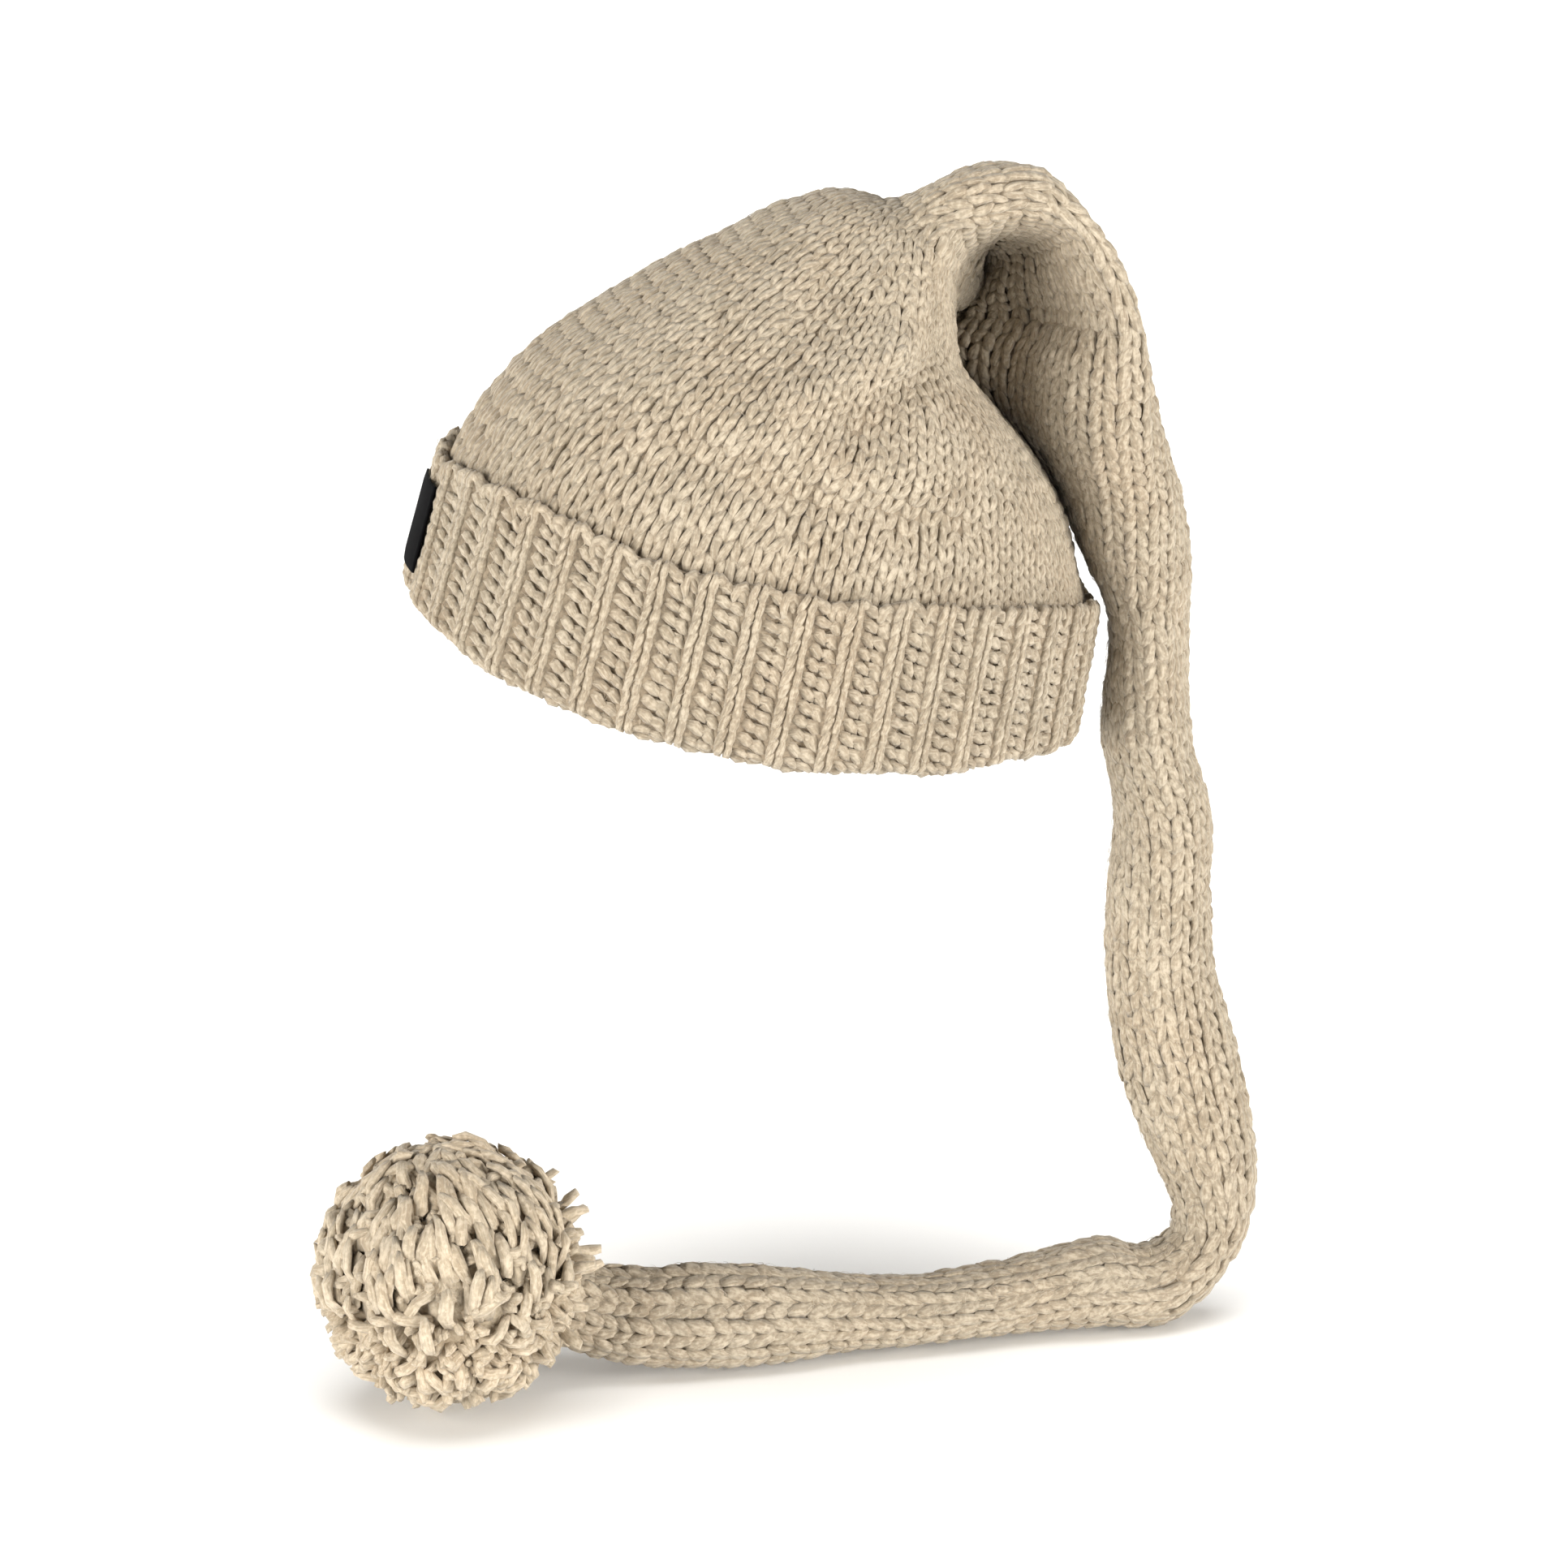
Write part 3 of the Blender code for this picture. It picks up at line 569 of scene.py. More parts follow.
def all_sections():
    """Every section from the cuff's ledge to the tip of the tail, with its names."""
    seat_length = HEAD_LENGTH + 2 * KNIT_WALL
    seat_width = HEAD_WIDTH + 2 * KNIT_WALL
    sections = []
    for height in (CUFF_HEIGHT - CROWN_TUCK, CUFF_HEIGHT):
        front = rim_points(0.0, KNIT_WALL, height)
        back = rim_points(math.pi, KNIT_WALL, height)
        half_length = np.linalg.norm(front - back) / 2
        sections.append((*(front + back) / 2, math.pi - RIM_TILT, half_length,
                         seat_width / 2, 0.0, 2.0))
    sections += [table_section(row, seat_length, seat_width) for row in CROWN_SECTIONS]
    sections += [table_section(row, ARCH_DEPTH, ARCH_WIDTH) for row in ARCH_SECTIONS]
    sections += [table_section(row, TAIL_WIDTH, TAIL_WIDTH) for row in TAIL_SECTIONS]
    neck = sections[-1]
    away = np.array(neck[:3]) - pompom_centre()
    away /= np.linalg.norm(away)
    tip = pompom_centre() + away * POMPOM_RADIUS * SEAT_SHARE
    sections.append((*tip, neck[3], neck[4] * TIP_DEPTH, neck[5] * TIP_WIDTH, *neck[6:]))
    rows = CROWN_SECTIONS + ARCH_SECTIONS + TAIL_SECTIONS
    names = ["ledge", "seat"] + [row[0] for row in rows] + ["tip"]
    return np.array(sections), names


def between(sections, index, part):
    """A section part of the way from one row to the next, on a smooth curve."""
    last = len(sections) - 1
    picks = [sections[i] for i in (max(index - 1, 0), index, min(index + 1, last),
                                   min(index + 2, last))]
    knots = [0.0]
    for one, other in zip(picks, picks[1:]):
        knots.append(knots[-1] + max(np.linalg.norm(one[:3] - other[:3]), 1e-4) ** 0.5)
    t = knots[1] + part * (knots[2] - knots[1])

    def mix(p, q, low, high):
        return (p * (high - t) + q * (t - low)) / (high - low)

    ab = mix(picks[0], picks[1], knots[0], knots[1])
    bc = mix(picks[1], picks[2], knots[1], knots[2])
    cd = mix(picks[2], picks[3], knots[2], knots[3])
    return mix(mix(ab, bc, knots[0], knots[2]), mix(bc, cd, knots[1], knots[3]),
               knots[1], knots[2])


def fold_lift(points):
    """How far the folds push the knit out at points of its outer face."""
    total = np.zeros(len(points))
    for _, y, z, end_y, end_z, reach, lift in FOLDS:
        start = np.array((y * BACK_REACH, z * ARCH_HEIGHT))
        line = np.array((end_y * BACK_REACH, end_z * ARCH_HEIGHT)) - start
        place = points[:, 1:] - start
        part = np.clip(place @ line / (line @ line), 0, 1)
        away = np.linalg.norm(place - part[:, None] * line, axis=1) / (reach * FOLD_REACH)
        total += lift * FOLD_LIFT * np.exp(-away * away)
    side = smooth(np.minimum(np.abs(points[:, 0]) / FOLD_SIDE, 1))
    return total * side * np.where(points[:, 0] > 0, 1, FAR_FOLDS)


def ring_points(section, along, angles):
    """Points round one section of the tube, with its folds and its curled side."""
    middle = section[:3]
    turn, half_depth, half_width, lean, square = section[3:]
    outward = np.array((0, math.cos(turn), math.sin(turn)))
    left = np.array((1.0, 0, 0)) - along * along[0]
    left -= outward * (left @ outward)
    left /= np.linalg.norm(left)
    tilted_left = left * math.cos(lean) + outward * math.sin(lean)
    tilted_out = outward * math.cos(lean) - left * math.sin(lean)
    c, s = np.cos(angles), np.sin(angles)
    wide = np.sign(c) * np.abs(c) ** (2 / square)
    deep = np.sign(s) * np.abs(s) ** (2 / square)
    surface = np.outer(wide * half_width, tilted_left) + np.outer(deep * half_depth, tilted_out)
    falling = max(math.cos(turn) - FALL_START, 0) / (1 - FALL_START)
    hanging = max(-math.cos(turn), 0) * max(1 - half_depth / half_width, 0)
    curled = (HOLLOW_CURL * falling * max(math.sin(lean), 0) + NECK_CURL * hanging) * half_width
    curl = np.outer(curled * np.maximum(-wide, 0) ** 2, tilted_out)
    lift = fold_lift(middle + surface)[:, None]
    away = surface / np.linalg.norm(surface, axis=1)[:, None]
    return middle + surface + away * lift - curl


def unit(vectors):
    """Vectors of length one."""
    return vectors / np.maximum(np.linalg.norm(vectors, axis=-1, keepdims=True), 1e-12)


def body_surface():
    """The crown and the tail as one smooth grid, with normals and mean lengths."""
    sections, names = all_sections()
    rows = []
    for index in range(len(sections) - 1):
        rows += [between(sections, index, k / STEPS_BETWEEN) for k in range(STEPS_BETWEEN)]
    rows.append(sections[-1])
    rows = np.array(rows)
    angles = np.linspace(0, 2 * math.pi, RING_STEPS, endpoint=False)
    along = unit(np.gradient(rows[:, :3], axis=0))
    grid = np.array([ring_points(row, tip, angles) for row, tip in zip(rows, along)])
    wide = np.roll(grid, -1, axis=1) - np.roll(grid, 1, axis=1)
    long = np.gradient(grid, axis=0)
    normals = unit(np.cross(wide, long))
    inward = ((grid - rows[:, None, :3]) * normals).sum(-1).mean(axis=1) < 0
    normals[inward] *= -1
    steps = np.linalg.norm(np.diff(grid, axis=0), axis=2).mean(axis=1)
    lengths = np.concatenate(((0,), np.cumsum(steps)))
    places = {name: i * STEPS_BETWEEN for i, name in enumerate(names)}
    return {"grid": grid, "normals": normals, "lengths": lengths, "places": places}


def sample(field, rows, angles):
    """Values of a grid at fractional rows and at angles, one for each pair."""
    low = np.clip(np.floor(rows).astype(int), 0, len(field) - 2)
    part = (rows - low)[:, None]
    turn = angles / (2 * math.pi) * RING_STEPS
    left = np.floor(turn).astype(int)
    across = (turn - left)[:, None]
    left %= RING_STEPS
    right = (left + 1) % RING_STEPS
    below = field[low, left] * (1 - across) + field[low, right] * across
    above = field[low + 1, left] * (1 - across) + field[low + 1, right] * across
    return below * (1 - part) + above * part


def gauge_at(body, length):
    """Width of a column and height of a row at a length along the knit."""
    knit = bpy.context.scene.cap_knit
    where = [body["lengths"][body["places"][row[0]]] for row in GAUGE]
    return (np.interp(length, where, [row[1] for row in GAUGE]) * knit.column,
            np.interp(length, where, [row[2] for row in GAUGE]) * knit.row)


def knit_chart(body):
    """Places of all stitches: rows along the tube, with columns that end as it narrows.

    Each row takes over the columns of the row before it, drops those that have
    too little room, and lets the others spread a little into the space.
    """
    chance = np.random.default_rng(bpy.context.scene.cap_knit.seed)
    grid, lengths = body["grid"], body["lengths"]
    steps = np.arange(RING_STEPS + 1) * 2 * math.pi / RING_STEPS
    chart = []
    length = lengths[body["places"]["ledge"]] + FIRST_ROW
    angles = names = None
    while length < lengths[-1]:
        row = np.interp(length, lengths, np.arange(len(lengths)))
        ring = sample(grid, np.full(RING_STEPS, row), steps[:-1])
        sides = np.linalg.norm(np.roll(ring, -1, axis=0) - ring, axis=1)
        around = np.concatenate(((0,), np.cumsum(sides)))
        width, height = gauge_at(body, length)
        count = int(round(around[-1] / width))
        if angles is None:
            places = (np.arange(count) + 0.5) * around[-1] / count
            names = np.arange(count)
        else:
            count = min(count, len(angles))
            places = np.interp(angles, steps, around)
            while len(places) > count:
                room = (np.roll(places, -1) - np.roll(places, 1)) % around[-1]
                drop = np.argmin(room * chance.uniform(*END_CHANCE, len(room)))
                places, names = np.delete(places, drop), np.delete(names, drop)
            for _ in range(EASING_ROUNDS):
                before = (places - np.roll(places, 1)) % around[-1]
                after = (np.roll(places, -1) - places) % around[-1]
                places = places + (after - before) / 4
        places = places % around[-1]
        order = np.argsort(places)
        places, names = places[order], names[order]
        angles = np.interp(places, around, steps)
        chart.append((row, angles, names))
        length += height
    return chart


def chart_frames(body, chart, first, last, sink):
    """Position, directions and cell size of every stitch of some rows of the chart."""
    found = []
    for index, (row, angles, names) in enumerate(chart[:-1]):
        if not first <= row < last:
            continue
        rows = np.full(len(angles), row)
        here = sample(body["grid"], rows, angles)
        normal = unit(sample(body["normals"], rows, angles))
        above, above_angles, above_names = chart[index + 1]
        nearest = dict(zip(above_names, above_angles))
        next_angles = np.array([nearest.get(n, a) for n, a in zip(names, angles)])
        there = sample(body["grid"], np.full(len(angles), above), next_angles)
        up = there - here
        up -= normal * (up * normal).sum(-1, keepdims=True)
        height = np.linalg.norm(up, axis=1)
        width = (np.linalg.norm(np.roll(here, -1, axis=0) - here, axis=1)
                 + np.linalg.norm(np.roll(here, 1, axis=0) - here, axis=1)) / 2
        found.append((here - normal * sink, unit(up), normal, width, height, angles, rows))
    return [np.concatenate(part) for part in zip(*found)]


def facing(up, normal):
    """Euler angles that turn local Y along a column and local Z out of the knit."""
    across = unit(np.cross(up, normal))
    up = np.cross(normal, across)
    turn = np.stack((across, up, normal), -1)
    return np.stack((np.arctan2(turn[:, 2, 1], turn[:, 2, 2]),
                     np.arcsin(np.clip(-turn[:, 2, 0], -1, 1)),
                     np.arctan2(turn[:, 1, 0], turn[:, 0, 0])), -1)


def strand(path, radii, sides):
    """A closed strand along a short path: vertices, faces and the UV of each corner."""
    tangents = unit(np.gradient(path, axis=0))
    side = unit(np.cross(tangents, STRAND_SIDE))
    other = np.cross(side, tangents)
    turns = np.arange(sides) * 2 * math.pi / sides
    ring = np.cos(turns)[:, None, None] * side + np.sin(turns)[:, None, None] * other
    verts = (path + ring * radii[:, None]).transpose(1, 0, 2).reshape(-1, 3)
    verts = np.concatenate((verts, path[:1], path[-1:]))
    last = len(path) - 1
    foot, head = len(verts) - 2, len(verts) - 1
    faces, corners = [], []
    for k in range(last):
        low, high = k / last, (k + 1) / last
        for i in range(sides):
            j = (i + 1) % sides
            one, two = i / sides, (i + 1) / sides
            faces.append((k * sides + i, k * sides + j, (k + 1) * sides + j, (k + 1) * sides + i))
            corners += [(low, one), (low, two), (high, two), (high, one)]
    for i in range(sides):
        j = (i + 1) % sides
        faces += [(foot, j, i), (head, last * sides + i, last * sides + j)]
        corners += [(0, 0.5), (0, j / sides), (0, i / sides)]
        corners += [(1, 0.5), (1, i / sides), (1, j / sides)]
    return verts, faces, corners


def shape_mesh(name, bend=1.0, thick=1.0):
    """The mesh of a shape, with its yarn UV and how deep each of its points lies; the wool paints
    shade by that depth (light on the pompom).

    A stitch has two legs, the second one mirrored. The bend multiplies the path's X.
    """
    path, radii, sides, pale, shade_span = SHAPES[name]
    verts, faces, corners = [], [], []
    for side in (1, -1) if name == "stitch" else (1,):
        leg = np.array(path, float) * (side * bend, 1, 1)
        part = strand(leg, np.array(radii) * thick, sides)
        faces += [tuple(v + len(verts) for v in face) for face in part[1]]
        verts += part[0].tolist()
        corners += part[2]
    # Painted shade: a share that grows towards the low parts of the shape, where strands meet
    deep = np.clip((pale - np.array(verts)[:, 2]) / shade_span, 0, 1)
    return plain_mesh(name, verts, faces, corners, {"deep": deep})


def plain_mesh(name, verts, faces, corners=None, values=None):
    """A mesh of vertices and faces, with a UV map and values for each vertex."""
    mesh = bpy.data.meshes.new(name)
    mesh.from_pydata([tuple(v) for v in verts], [], faces)
    if corners is not None:
        layer = mesh.uv_layers.new(name="yarn")
        layer.data.foreach_set("uv", np.array(corners, "f").ravel())
    for key, numbers in (values or {}).items():
        attribute = mesh.attributes.new(key, "FLOAT", "POINT")
        attribute.data.foreach_set("value", np.array(numbers, "f"))
    mesh.shade_smooth()
    return mesh


def linked(name, data):
    """A new object of some data, linked to the scene."""
    made = bpy.data.objects.new(name, data)
    bpy.context.collection.objects.link(made)
    return made


def plain_object(mesh, finish):
    """An object of a mesh with its material."""
    mesh.materials.append(finish)
    return linked(mesh.name, mesh)


def new_node(tree, kind, inputs=(), **settings):
    """The outputs of a new node whose inputs are joined to sockets or set to values."""
    node = tree.nodes.new(kind)
    for key, value in settings.items():
        setattr(node, key, value)
    for key, value in dict(inputs).items():
        if isinstance(value, bpy.types.NodeSocket):
            tree.links.new(value, node.inputs[key])
        else:
            node.inputs[key].default_value = value
    return node.outputs


def new_material(name, values):
    """A material with values on its shader's own inputs, and its tree and shader."""
    material = bpy.data.materials.new(name)
    material.use_nodes = True
    shader = material.node_tree.nodes["Principled BSDF"]
    for key, value in values.items():
        shader.inputs[key].default_value = value
    return material, material.node_tree, shader


def set_out_tree():
    """The node tree that sets a shape out on the points of a chart.

    Its inputs are the shape, how far each copy turns and grows at random, how far
    the yarn strays, over which distance, the seed and the finish.
    """
    tree = bpy.data.node_groups.new(TREE_NAME, "GeometryNodeTree")
    for name, kind in TREE_INPUTS:
        tree.interface.new_socket(name, in_out="INPUT", socket_type="NodeSocket" + kind)
    tree.interface.new_socket("Strands", in_out="OUTPUT", socket_type="NodeSocketGeometry")
    given = tree.nodes.new("NodeGroupInput").outputs

    def make(kind, inputs=(), **settings):
        return new_node(tree, kind, inputs, **settings)

    def named(name):
        return make("GeometryNodeInputNamedAttribute", {"Name": name},
                    data_type="FLOAT_VECTOR")["Attribute"]

    def seed(shift):
        return make("ShaderNodeMath", {0: given["Seed"], 1: shift})[0]

    def scaled(vector, factor):
        return make("ShaderNodeVectorMath", {0: vector, "Scale": factor}, operation="SCALE")[0]

    def chance(shift, factor):
        return scaled(make("FunctionNodeRandomValue",
                           {0: (-1, -1, -1), 1: (1, 1, 1), "Seed": seed(shift)},
                           data_type="FLOAT_VECTOR")[0], factor)

    def maths(operation, one, other):
        return make("ShaderNodeVectorMath", {0: one, 1: other}, operation=operation)[0]

    shape = make("GeometryNodeObjectInfo", {"Object": given["Shape"]})["Geometry"]
    turned = make("FunctionNodeEulerToRotation", {0: named("facing")})[0]
    jitter = make("FunctionNodeEulerToRotation", {0: chance(1, given["Turn"])})[0]
    both = make("FunctionNodeRotateRotation", {"Rotation": turned, "Rotate By": jitter},
                rotation_space="LOCAL")[0]
    size = named("size")
    grown = maths("ADD", size, maths("MULTIPLY", size, chance(2, given["Growth"])))
    copies = make("GeometryNodeInstanceOnPoints",
                  {"Points": given["Chart"], "Instance": shape, "Rotation": both,
                   "Scale": grown})[0]
    tone = make("FunctionNodeRandomValue", {2: 0.0, 3: 1.0, "Seed": seed(3)},
                data_type="FLOAT")[1]
    toned = make("GeometryNodeStoreNamedAttribute",
                 {"Geometry": copies, "Name": "tone", "Value": tone},
                 data_type="FLOAT", domain="INSTANCE")[0]
    real = make("GeometryNodeRealizeInstances", {0: toned})[0]
    stray = make("ShaderNodeTexNoise",
                 {"Vector": make("GeometryNodeInputPosition")[0],
                  "Scale": given["Wobble scale"], "Detail": 1.0},
                 noise_dimensions="3D")["Color"]
    centred = maths("SUBTRACT", stray, (0.5, 0.5, 0.5))
    strayed = make("GeometryNodeSetPosition",
                   {"Geometry": real, "Offset": scaled(centred, given["Wobble"])})[0]
    finished = make("GeometryNodeSetMaterial",
                    {"Geometry": strayed, "Material": given["Finish"]})[0]
    tree.links.new(finished, tree.nodes.new("NodeGroupOutput").inputs["Strands"])
    return tree


def set_out(name, places, turns, sizes, shape, finish, turn=0.08, growth=0.06,
            wobble=None, scale=150.0, seed=0):
    """Runs the tree on one chart and keeps the result as a plain object."""
    knit = bpy.context.scene.cap_knit
    tree = bpy.data.node_groups.get(TREE_NAME) or set_out_tree()
    chart = bpy.data.meshes.new(name + "_chart")
    chart.from_pydata([tuple(p) for p in places], [], [])
    for key, numbers in (("facing", turns), ("size", sizes)):
        attribute = chart.attributes.new(key, "FLOAT_VECTOR", "POINT")
        attribute.data.foreach_set("vector", np.asarray(numbers, "f").ravel())
    carrier = linked(name + "_chart", chart)
    pattern = linked(name + "_shape", shape)
    modifier = carrier.modifiers.new("Set out", "NODES")
    modifier.node_group = tree
    inputs = {"Shape": pattern, "Turn": turn, "Growth": growth,
              "Wobble": knit.wobble if wobble is None else wobble, "Wobble scale": scale,
              "Seed": knit.seed + seed, "Finish": finish}
    for item in tree.interface.items_tree:
        if item.in_out == "INPUT" and item.name in inputs:
            modifier[item.identifier] = inputs[item.name]
    bpy.context.view_layer.update()
    evaluated = carrier.evaluated_get(bpy.context.evaluated_depsgraph_get())
    mesh = bpy.data.meshes.new_from_object(evaluated)
    mesh.name = name
    bpy.data.objects.remove(carrier)
    bpy.data.objects.remove(pattern)
    mesh.shade_smooth()
    return linked(name, mesh)


def dress(piece, slot, *nodes):
    """Attaches a finished piece to the root body and hides the parts that it replaces. Its slot is
    not used.
    """
    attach(piece, "root")
    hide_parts(*nodes)


def wool(name, pale, main, deep, streak=1.0, own_uv=True):
    """Heathered wool: patches, a tone for each stitch, fibre streaks along the yarn, and painted
    shade on the strands' low parts.
    """
    material = bpy.data.materials.get(name)
    if material:
        return material
    material, tree, shader = new_material(name, WOOL_SHADER)
    where = new_node(tree, "ShaderNodeTexCoord")["Object"]

    def noise(vector, key):
        scale, detail = WOOL_NOISES[key]
        return new_node(tree, "ShaderNodeTexNoise",
                        {"Vector": vector, "Scale": scale, "Detail": detail})["Fac"]

    def ramp(value, low, high, start, end):
        return new_node(tree, "ShaderNodeMapRange",
                        {"Value": value, 1: low, 2: high, 3: start, 4: end})[0]

    def attribute(key):
        return new_node(tree, "ShaderNodeAttribute", attribute_name=key)["Fac"]

    def maths(operation, inputs):
        return new_node(tree, "ShaderNodeVectorMath", inputs, operation=operation)[0]

    follows = {key: noise(where, key) for key in ("patch", "warmth", "fleck")}
    if own_uv:
        uv = new_node(tree, "ShaderNodeUVMap", uv_map="yarn")[0]
        scale = (FIBRE_SCALE[0] * streak, *FIBRE_SCALE[1:])
        lay = new_node(tree, "ShaderNodeMapping",
                       {"Vector": uv, "Rotation": FIBRE_SLANT, "Scale": scale})[0]
        # The deep attribute carries painted shade on the strands' low parts
        follows.update(tone=attribute("tone"), deep=attribute("deep"))
        shifted = maths("MULTIPLY_ADD", {0: follows["tone"], 1: FIBRE_SHIFT, 2: lay})
        follows["fibre"] = noise(shifted, "yarn")
        follows["hair"] = noise(maths("MULTIPLY", {0: shifted, 1: HAIR_SCALE}), "hair")
    else:
        follows.update(felt=attribute("felt"), fibre=noise(where, "backing"))
    wools = {"pale": pale, "main": main, "deep": deep, "knit": bpy.context.scene.cap_knit.middle}
    colour = (*main, 1.0)
    for key, low, high, start, end, base, shares in WOOL_LAYERS:
        if key in follows:
            tint = [min(value * share, WHITEST) for value, share in zip(wools[base], shares)]
            factor = ramp(follows[key], low, high, start, end)
            colour = new_node(tree, "ShaderNodeMix", {0: factor, 6: colour, 7: (*tint, 1.0)},
                              data_type="RGBA")[2]
    tree.links.new(colour, shader.inputs["Base Color"])
    tree.links.new(ramp(follows["fibre"], *ROUGHNESS), shader.inputs["Roughness"])
    height = new_node(tree, "ShaderNodeMath",
                      {0: noise(where, "fine"), 1: FINE_SHARE, 2: follows["fibre"]},
                      operation="MULTIPLY_ADD")[0]
    bump = new_node(tree, "ShaderNodeBump", {"Height": height, **WOOL_BUMP})[0]
    tree.links.new(bump, shader.inputs["Normal"])
    return material


def times(colour, share):
    """A colour multiplied by a share."""
    return tuple(value * share for value in colour)


def knit_wool(name):
    """The yarn of the knit."""
    knit = bpy.context.scene.cap_knit
    return wool(name, tuple(knit.light), tuple(knit.middle), tuple(knit.deep))


def painted_shade_backing():
    """Painted shade: the darker wool of the wall that shows between the strands."""
    knit = bpy.context.scene.cap_knit
    brown = tuple(BACKING_MIDDLE * m + BACKING_DEEP * d for m, d in zip(knit.middle, knit.deep))
    return wool("wool between strands", brown, times(brown, BACKING_MAIN),
                tuple(knit.deep), own_uv=False)


def tube_wall(name, grids, values):
    """A closed wall between an outer and an inner grid of rings, capped at its tip."""
    verts, faces, starts = [], [], []
    for grid in grids:
        starts.append(len(verts))
        verts += grid.reshape(-1, 3).tolist()
        sides = grid.shape[1]
        for k in range(len(grid) - 1):
            base = starts[-1] + k * sides
            for i in range(sides):
                j = (i + 1) % sides
                quad = (base + i, base + j, base + sides + j, base + sides + i)
                faces.append(quad if grid is grids[0] else quad[::-1])
    inner = starts[1]
    for i in range(sides):
        j = (i + 1) % sides
        faces.append((j, i, inner + i, inner + j))
    for start, grid, order in zip(starts, grids, (1, -1)):
        tip = start + (len(grid) - 1) * sides
        faces.append(tuple(range(tip, tip + sides))[::order])
    return plain_mesh(name, verts, faces, values=values)


def felted(angles, rows, places):
    """How far the tail's knit is felted on its side that faces the bend's inside."""
    start = np.interp(rows, (places["nape high"], places["above cuff"]), FELT_START)
    return smooth(np.clip((-np.sin(angles) - start) / FELT_BORDER, 0, 1))


def hollow_side(angles, rows, places):
    """1 on the far inner side of the bend, where the knit lies thicker, else 0."""
    far = (np.clip(-HOLLOW_SLOPE * np.cos(angles), 0, 1)
           * np.clip(HOLLOW_EDGE - HOLLOW_SLOPE * np.sin(angles), 0, 1))
    start = np.clip((rows - places["peak"]) / STEPS_BETWEEN, 0, 1)
    return far * start * np.clip((places["above cuff"] - rows) / STEPS_BETWEEN + HOLLOW_END, 0, 1)


class CAP_OT_body(bpy.types.Operator):
    """Builds the knitted body: the wall, the crown's stitches and the tail's stitches"""
    bl_idname = "cap.body"
    bl_label = "Crown and tail"

    def execute(self, context):
        knit = context.scene.cap_knit
        body = body_surface()
        places = body["places"]
        self.wall(body)
        chart = knit_chart(body)
        yarn = knit_wool("cream wool")
        for name, first, last, node, seed in BODY_PARTS:
            here, up, normal, width, height, angles, rows = chart_frames(
                body, chart, places[first], places[last], 0.0)
            felt = felted(angles, rows, places) * (node == "tail")
            thick = knit.hollow_lift * hollow_side(angles, rows, places)
            here = here + normal * (thick - knit.sink - knit.felt_sink * felt)[:, None]
            depth = np.clip((width + height) / 2, *STITCH_DEPTHS) * knit.relief
            depth *= 1 - knit.felt_flat * felt
            piece = set_out(name, here, facing(up, normal), np.stack((width, height, depth), -1),
                            shape_mesh("stitch"), yarn, turn=0.09, growth=0.09, seed=seed)
            dress(piece, "body_wool", node)
        here, up, normal, width, height = chart_frames(
            body, chart, places["ledge"], places["peak"], KNIT_WALL)[:5]
        size = np.stack((width, height, (width + height) / 2), -1)
        inside = set_out("crown_inner_bumps", here, facing(up, -normal), size,
                         shape_mesh("inner bump"), yarn, seed=5)
        dress(inside, "body_wool", "crown")
        return {"FINISHED"}

    def wall(self, body):
        """The wall behind the stitches, darker with painted shade, paler where the tail is felted.
        """
        pick = np.arange(0, RING_STEPS, RING_STEPS // WALL_SIDES)
        angles = np.arange(RING_STEPS) * 2 * math.pi / RING_STEPS
        rows = np.arange(len(body["grid"]))
        rise = np.clip((rows - body["places"]["root"]) / STEPS_BETWEEN, 0, 1)
        felt = rise[:, None] * felted(angles, rows[:, None], body["places"])
        grids = []
        for inset in (WALL_INSET - FELT_RISE * felt, np.full(felt.shape, KNIT_WALL)):
            grid = body["grid"] - body["normals"] * inset[:, :, None]
            grids.append(grid[::WALL_EVERY][:, pick])
        grids[1] = grids[1][:-1]
        shown = felt[::WALL_EVERY][:, pick]
        felts = np.concatenate((shown.ravel(), shown[:-1].ravel()))
        wall = plain_object(tube_wall("body_wall", grids, {"felt": felts}), painted_shade_backing())
        dress(wall, "body_wool", "crown", "tail")


def rib_crest(shares):
    """1 on the ribs and 0 between them, at shares of the way round the cuff."""
    return 0.5 + 0.5 * np.cos(2 * math.pi * shares * RIB_COUNT)


def cuff_path(angle, crest, sink):
    """The rib's surface from the inner ledge, round the fold, to the upper edge.

    Gives the grow and the height of its points for each column, so that rows can be
    laid at even steps along it.
    """
    rim_dip, top_dip = edge_dips(angle)
    crest = np.broadcast_to(crest, angle.shape)
    outside = CUFF_THICKNESS - RIB_RELIEF * (1 - crest) - sink
    inside = RIB_RELIEF * INNER_RELIEF * crest + sink
    low = -rim_dip
    top = CUFF_HEIGHT - top_dip + SCALLOP * (crest - 1) - sink / 2
    ledge = np.full_like(low, CUFF_HEIGHT - CROWN_TUCK)
    middle = (outside + inside) / 2
    reach = (outside - inside) / 2
    points = [(inside, ledge), (inside, low + EDGE_ROUND + sink)]
    for k in range(1, FOLD_POINTS):
        turn = math.pi * k / FOLD_POINTS
        points.append((middle - reach * math.cos(turn),
                       low + sink + EDGE_ROUND * (1 - math.sin(turn))))
    points += [(outside, low + EDGE_ROUND + sink), (outside, top)]
    return np.array(points).transpose(1, 0, 2)


